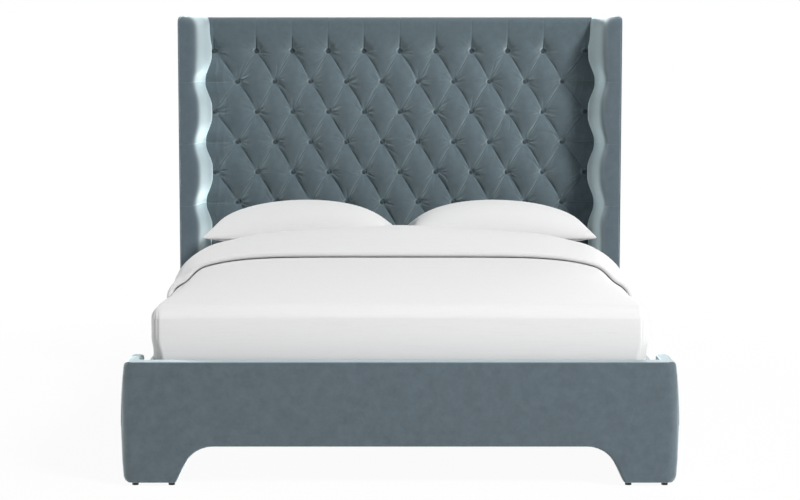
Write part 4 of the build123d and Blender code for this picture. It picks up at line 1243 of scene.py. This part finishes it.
def turn_down():
    """Turned-down duvet: a soft roll across the bed that hangs over both sides."""
    crest = section_curve(FOLD_CREST, FOLD_COUNT)
    # The same number of points round the coverlet below it
    half = coverlet_high.x
    rise = COVERLET_BOX_TOP - fold_low.z
    along = np.linspace(0, 2 * (rise + half), FOLD_COUNT)
    box_x = np.clip(along - rise - half, -half, half)
    box_z = np.minimum(fold_low.z + np.minimum(along, along[::-1]), COVERLET_BOX_TOP)
    level = np.ones(FOLD_COUNT)
    turns = np.linspace(-math.pi / 2, math.pi / 2, 9)
    lip_y = FOLD_Y + FOLD_LIP
    tuck_y = lip_y + FOLD_TUCK
    stations = [(tuck_y, FOLD_START), (tuck_y - 0.2 * FOLD_TUCK, FOLD_GAP)]
    stations += [(lip_y - FOLD_LIP * math.cos(t), FOLD_GAP + FOLD_LIP * (1 + math.sin(t))) for t in turns]
    lip_count = len(stations)
    length = fold_high.y - lip_y
    stations += [(lip_y + length * share, FOLD_GAP + 2 * FOLD_LIP) for share in np.linspace(0, 1, 44)[1:]]
    outer = []
    inner = []
    for k, (y, lift) in enumerate(stations):
        under_y = max(y, tuck_y)
        rest = coverlet_points(np.stack([box_x, y * level, box_z], -1), 0.0)[:, (0, 2)]
        base = coverlet_points(np.stack([box_x, under_y * level, box_z], -1), 0.0)[:, (0, 2)]
        slope = np.gradient(rest, axis=0)
        outward = np.stack([-slope[:, 1], slope[:, 0]], -1)
        outward /= np.linalg.norm(outward, axis=1, keepdims=True)
        section = rest + lift * outward
        if k >= lip_count:
            share = (y - lip_y) / length
            if share > SWELL_SHARE:
                fall = FALL_SHARE * (share - SWELL_SHARE) / (1 - SWELL_SHARE)
                mix = math.sqrt(1 - fall**FALL_POWER)
            else:
                mix = 1 - (1 - share / SWELL_SHARE) ** SWELL_POWER
            section += (crest - section) * mix
        below = base + TOUCH * outward
        outer.append(np.stack([section[:, 0], y * level, section[:, 1]], -1))
        inner.append(np.stack([below[:, 0], under_y * level, below[:, 1]], -1))
    outer = np.array(outer).reshape(-1, 3)
    inner = np.array(inner).reshape(-1, 3)
    # Soft folds where it turns down over the sides
    x, y, z = outer.T
    over = ease(np.abs(x), *SIDE_FOLD_X) * ease(y, *SIDE_FOLD_Y) * ease(y, *SIDE_FOLD_END_Y)
    folds = np.zeros_like(x)
    for place, slant, depth in SIDE_FOLDS:
        folds += depth * bell(y - place - slant * (SIDE_FOLD_Z - z), SIDE_FOLD_WIDTH)
    outer[:, 0] -= np.sign(x) * folds * over
    points, solid = thicken(outer, grid_faces(len(stations), FOLD_COUNT), inner)
    piece = new_piece("duvet_fold", points, solid, BEDDING, duvet_cotton, "duvet_turn_down")


PILLOW_COUNT = 61
PILLOW_SEAM_Z = 0.626
PILLOW_SEAM = 0.003
PILLOW_BELLY = 0.05
PILLOW_DRAW_X = 0.05
PILLOW_DRAW_Y = 0.07
PILLOW_POWER = 0.52
PILLOW_LEAN = 0.06


def pillow(side, side_name):
    """Pillow: crowned, with sides that draw in between its pointed corners."""
    low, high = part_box(f"pillow_{side_name}")
    centre = (low + high) / 2
    half_x, half_y = (high.x - low.x) / 2, (high.y - low.y) / 2
    steps = np.sin(np.linspace(-1, 1, PILLOW_COUNT) * math.pi / 2)
    u, v = np.meshgrid(steps, steps)
    px = centre.x + half_x * u * (1 - PILLOW_DRAW_X * (1 - v**2) * np.abs(u))
    py = centre.y + half_y * v * (1 - PILLOW_DRAW_Y * (1 - u**2) * np.abs(v))
    crown = (np.maximum(0, 1 - u**2) * np.maximum(0, 1 - v**2)) ** PILLOW_POWER
    lean = 1 - PILLOW_LEAN * side * u
    top_seam = PILLOW_SEAM_Z + PILLOW_SEAM
    upper = top_seam + (high.z - top_seam) * np.minimum(crown * lean, 1)
    under = np.maximum(PILLOW_SEAM_Z - PILLOW_SEAM - PILLOW_BELLY * crown, coverlet_top(px, py) + TOUCH)
    top = np.stack([px, py, upper], -1).reshape(-1, 3)
    bottom = np.stack([px, py, under], -1).reshape(-1, 3)
    points, solid = thicken(top, grid_faces(PILLOW_COUNT, PILLOW_COUNT), bottom)
    piece = new_piece(
        f"pillow_case_{side_name}", points, solid, f"pillow_{side_name}", pillow_cotton,
        f"pillow_{side_name}",
    )


mattress()
coverlet()
turn_down()
for side, side_name in SIDES:
    pillow(side, side_name)

# Finishes of the CAD nodes that stay
for name, node in nodes.items():
    if node.hide_render:
        continue
    if name.startswith("slat_") and "cleat" not in name:
        finish = slat_wood
    elif name.startswith(("corner_bracket", "beam_hanger", "bracket_bolts")):
        finish = zinc_steel
    elif "glides" in name or name == "centre_leg_feet":
        finish = black_glide
    else:
        finish = frame_wood
    node.data.materials.clear()
    node.data.materials.append(finish)

# Floor, world and lamps
WHITE = (1, 1, 1, 1)
FLOOR_HALF = 30.0
FLOOR_TONE = (0.85, 0.85, 0.85, 1)
FLOOR_WHITE_FROM = 1.6
FLOOR_WHITE_TO = 3.2
FLOOR_WHITE_SHARE = 0.95


def seen_rays(finish):
    """1 for rays that come from the camera, a reflection or a clear piece, and 0 for the others."""
    paths = finish.add("ShaderNodeLightPath").outputs
    seen = finish.math("MAXIMUM", paths["Is Camera Ray"], paths["Is Glossy Ray"])
    return finish.math("MAXIMUM", seen, paths["Is Transmission Ray"])


def floor():
    """Pale floor that is white to the camera but keeps a trace of the bed's shadow."""
    mesh = bpy.data.meshes.new("floor")
    corners = [(x * FLOOR_HALF, y * FLOOR_HALF, 0) for x, y in ((-1, -1), (1, -1), (1, 1), (-1, 1))]
    mesh.from_pydata(corners, [], [(0, 1, 2, 3)])
    ground = new_object("floor", mesh)
    finish = new_finish("floor_white")
    finish.shade(Base_Color=FLOOR_TONE, Roughness=1.0, Specular_IOR_Level=0.0)
    glow = finish.add("ShaderNodeEmission", Color=WHITE, Strength=1.0)
    blend = finish.add("ShaderNodeMixShader")
    reach = finish.add("ShaderNodeVectorMath", operation="LENGTH")
    finish.join(finish.add("ShaderNodeTexCoord").outputs["Object"], reach.inputs[0])
    outer = finish.add(
        "ShaderNodeMapRange", From_Min=FLOOR_WHITE_FROM, From_Max=FLOOR_WHITE_TO, To_Min=FLOOR_WHITE_SHARE
    )
    finish.join(reach.outputs["Value"], outer.inputs["Value"])
    finish.join(finish.math("MULTIPLY", seen_rays(finish), outer.outputs["Result"]), blend.inputs["Fac"])
    finish.join(finish.shader.outputs["BSDF"], blend.inputs[1])
    finish.join(glow.outputs["Emission"], blend.inputs[2])
    finish.join(blend.outputs["Shader"], finish.tree.nodes["Material Output"].inputs["Surface"])
    mesh.materials.append(finish.made)


def world(strength):
    """Soft even light from all round, white where the camera looks past the bed."""
    made = bpy.data.worlds.new("studio")
    bpy.context.scene.world = made
    finish = Finish(made)
    finish.tree.nodes.clear()
    dim = finish.add("ShaderNodeBackground", Color=WHITE, Strength=strength)
    white = finish.add("ShaderNodeBackground", Color=WHITE, Strength=1.0)
    blend = finish.add("ShaderNodeMixShader")
    finish.join(seen_rays(finish), blend.inputs["Fac"])
    finish.join(dim.outputs["Background"], blend.inputs[1])
    finish.join(white.outputs["Background"], blend.inputs[2])
    finish.join(blend.outputs["Shader"], finish.add("ShaderNodeOutputWorld").inputs["Surface"])


def lamp(name, place, target, size, power):
    """Square soft box aimed at a point."""
    data = bpy.data.lights.new(name, "AREA")
    data.shape = "SQUARE"
    data.size = size
    data.energy = power
    box = new_object(name, data)
    box.location = place
    box.rotation_mode = "QUATERNION"
    box.rotation_quaternion = (Vector(target) - Vector(place)).to_track_quat("-Z", "Y")


floor()
world(strength=0.05)
lamp("key", place=(5.9, -6.2, 7.5), target=(0, 0.2, 0.7), size=2.4, power=1250)
lamp("side", place=(-7.6, 1.8, 1.4), target=(0, -0.4, 0.5), size=2.0, power=330)
lamp("front", place=(-1.5, -8.4, 2.6), target=(0, 0, 0.5), size=3.0, power=55)
lamp("back", place=(2.5, 8.5, 3.2), target=(0, 1.1, 0.8), size=3.0, power=420)

# Camera
camera_data = bpy.data.cameras.new("camera")
camera_data.lens = LENS_MM
camera_data.sensor_width = SENSOR_MM
camera_data.sensor_fit = "HORIZONTAL"
camera = new_object("camera", camera_data)
camera.location = CAMERA_PLACE
camera.rotation_euler = (math.pi / 2 - CAMERA_PITCH_DOWN, 0, 0)
bpy.context.scene.camera = camera
bpy.context.scene.view_settings.view_transform = "Standard"
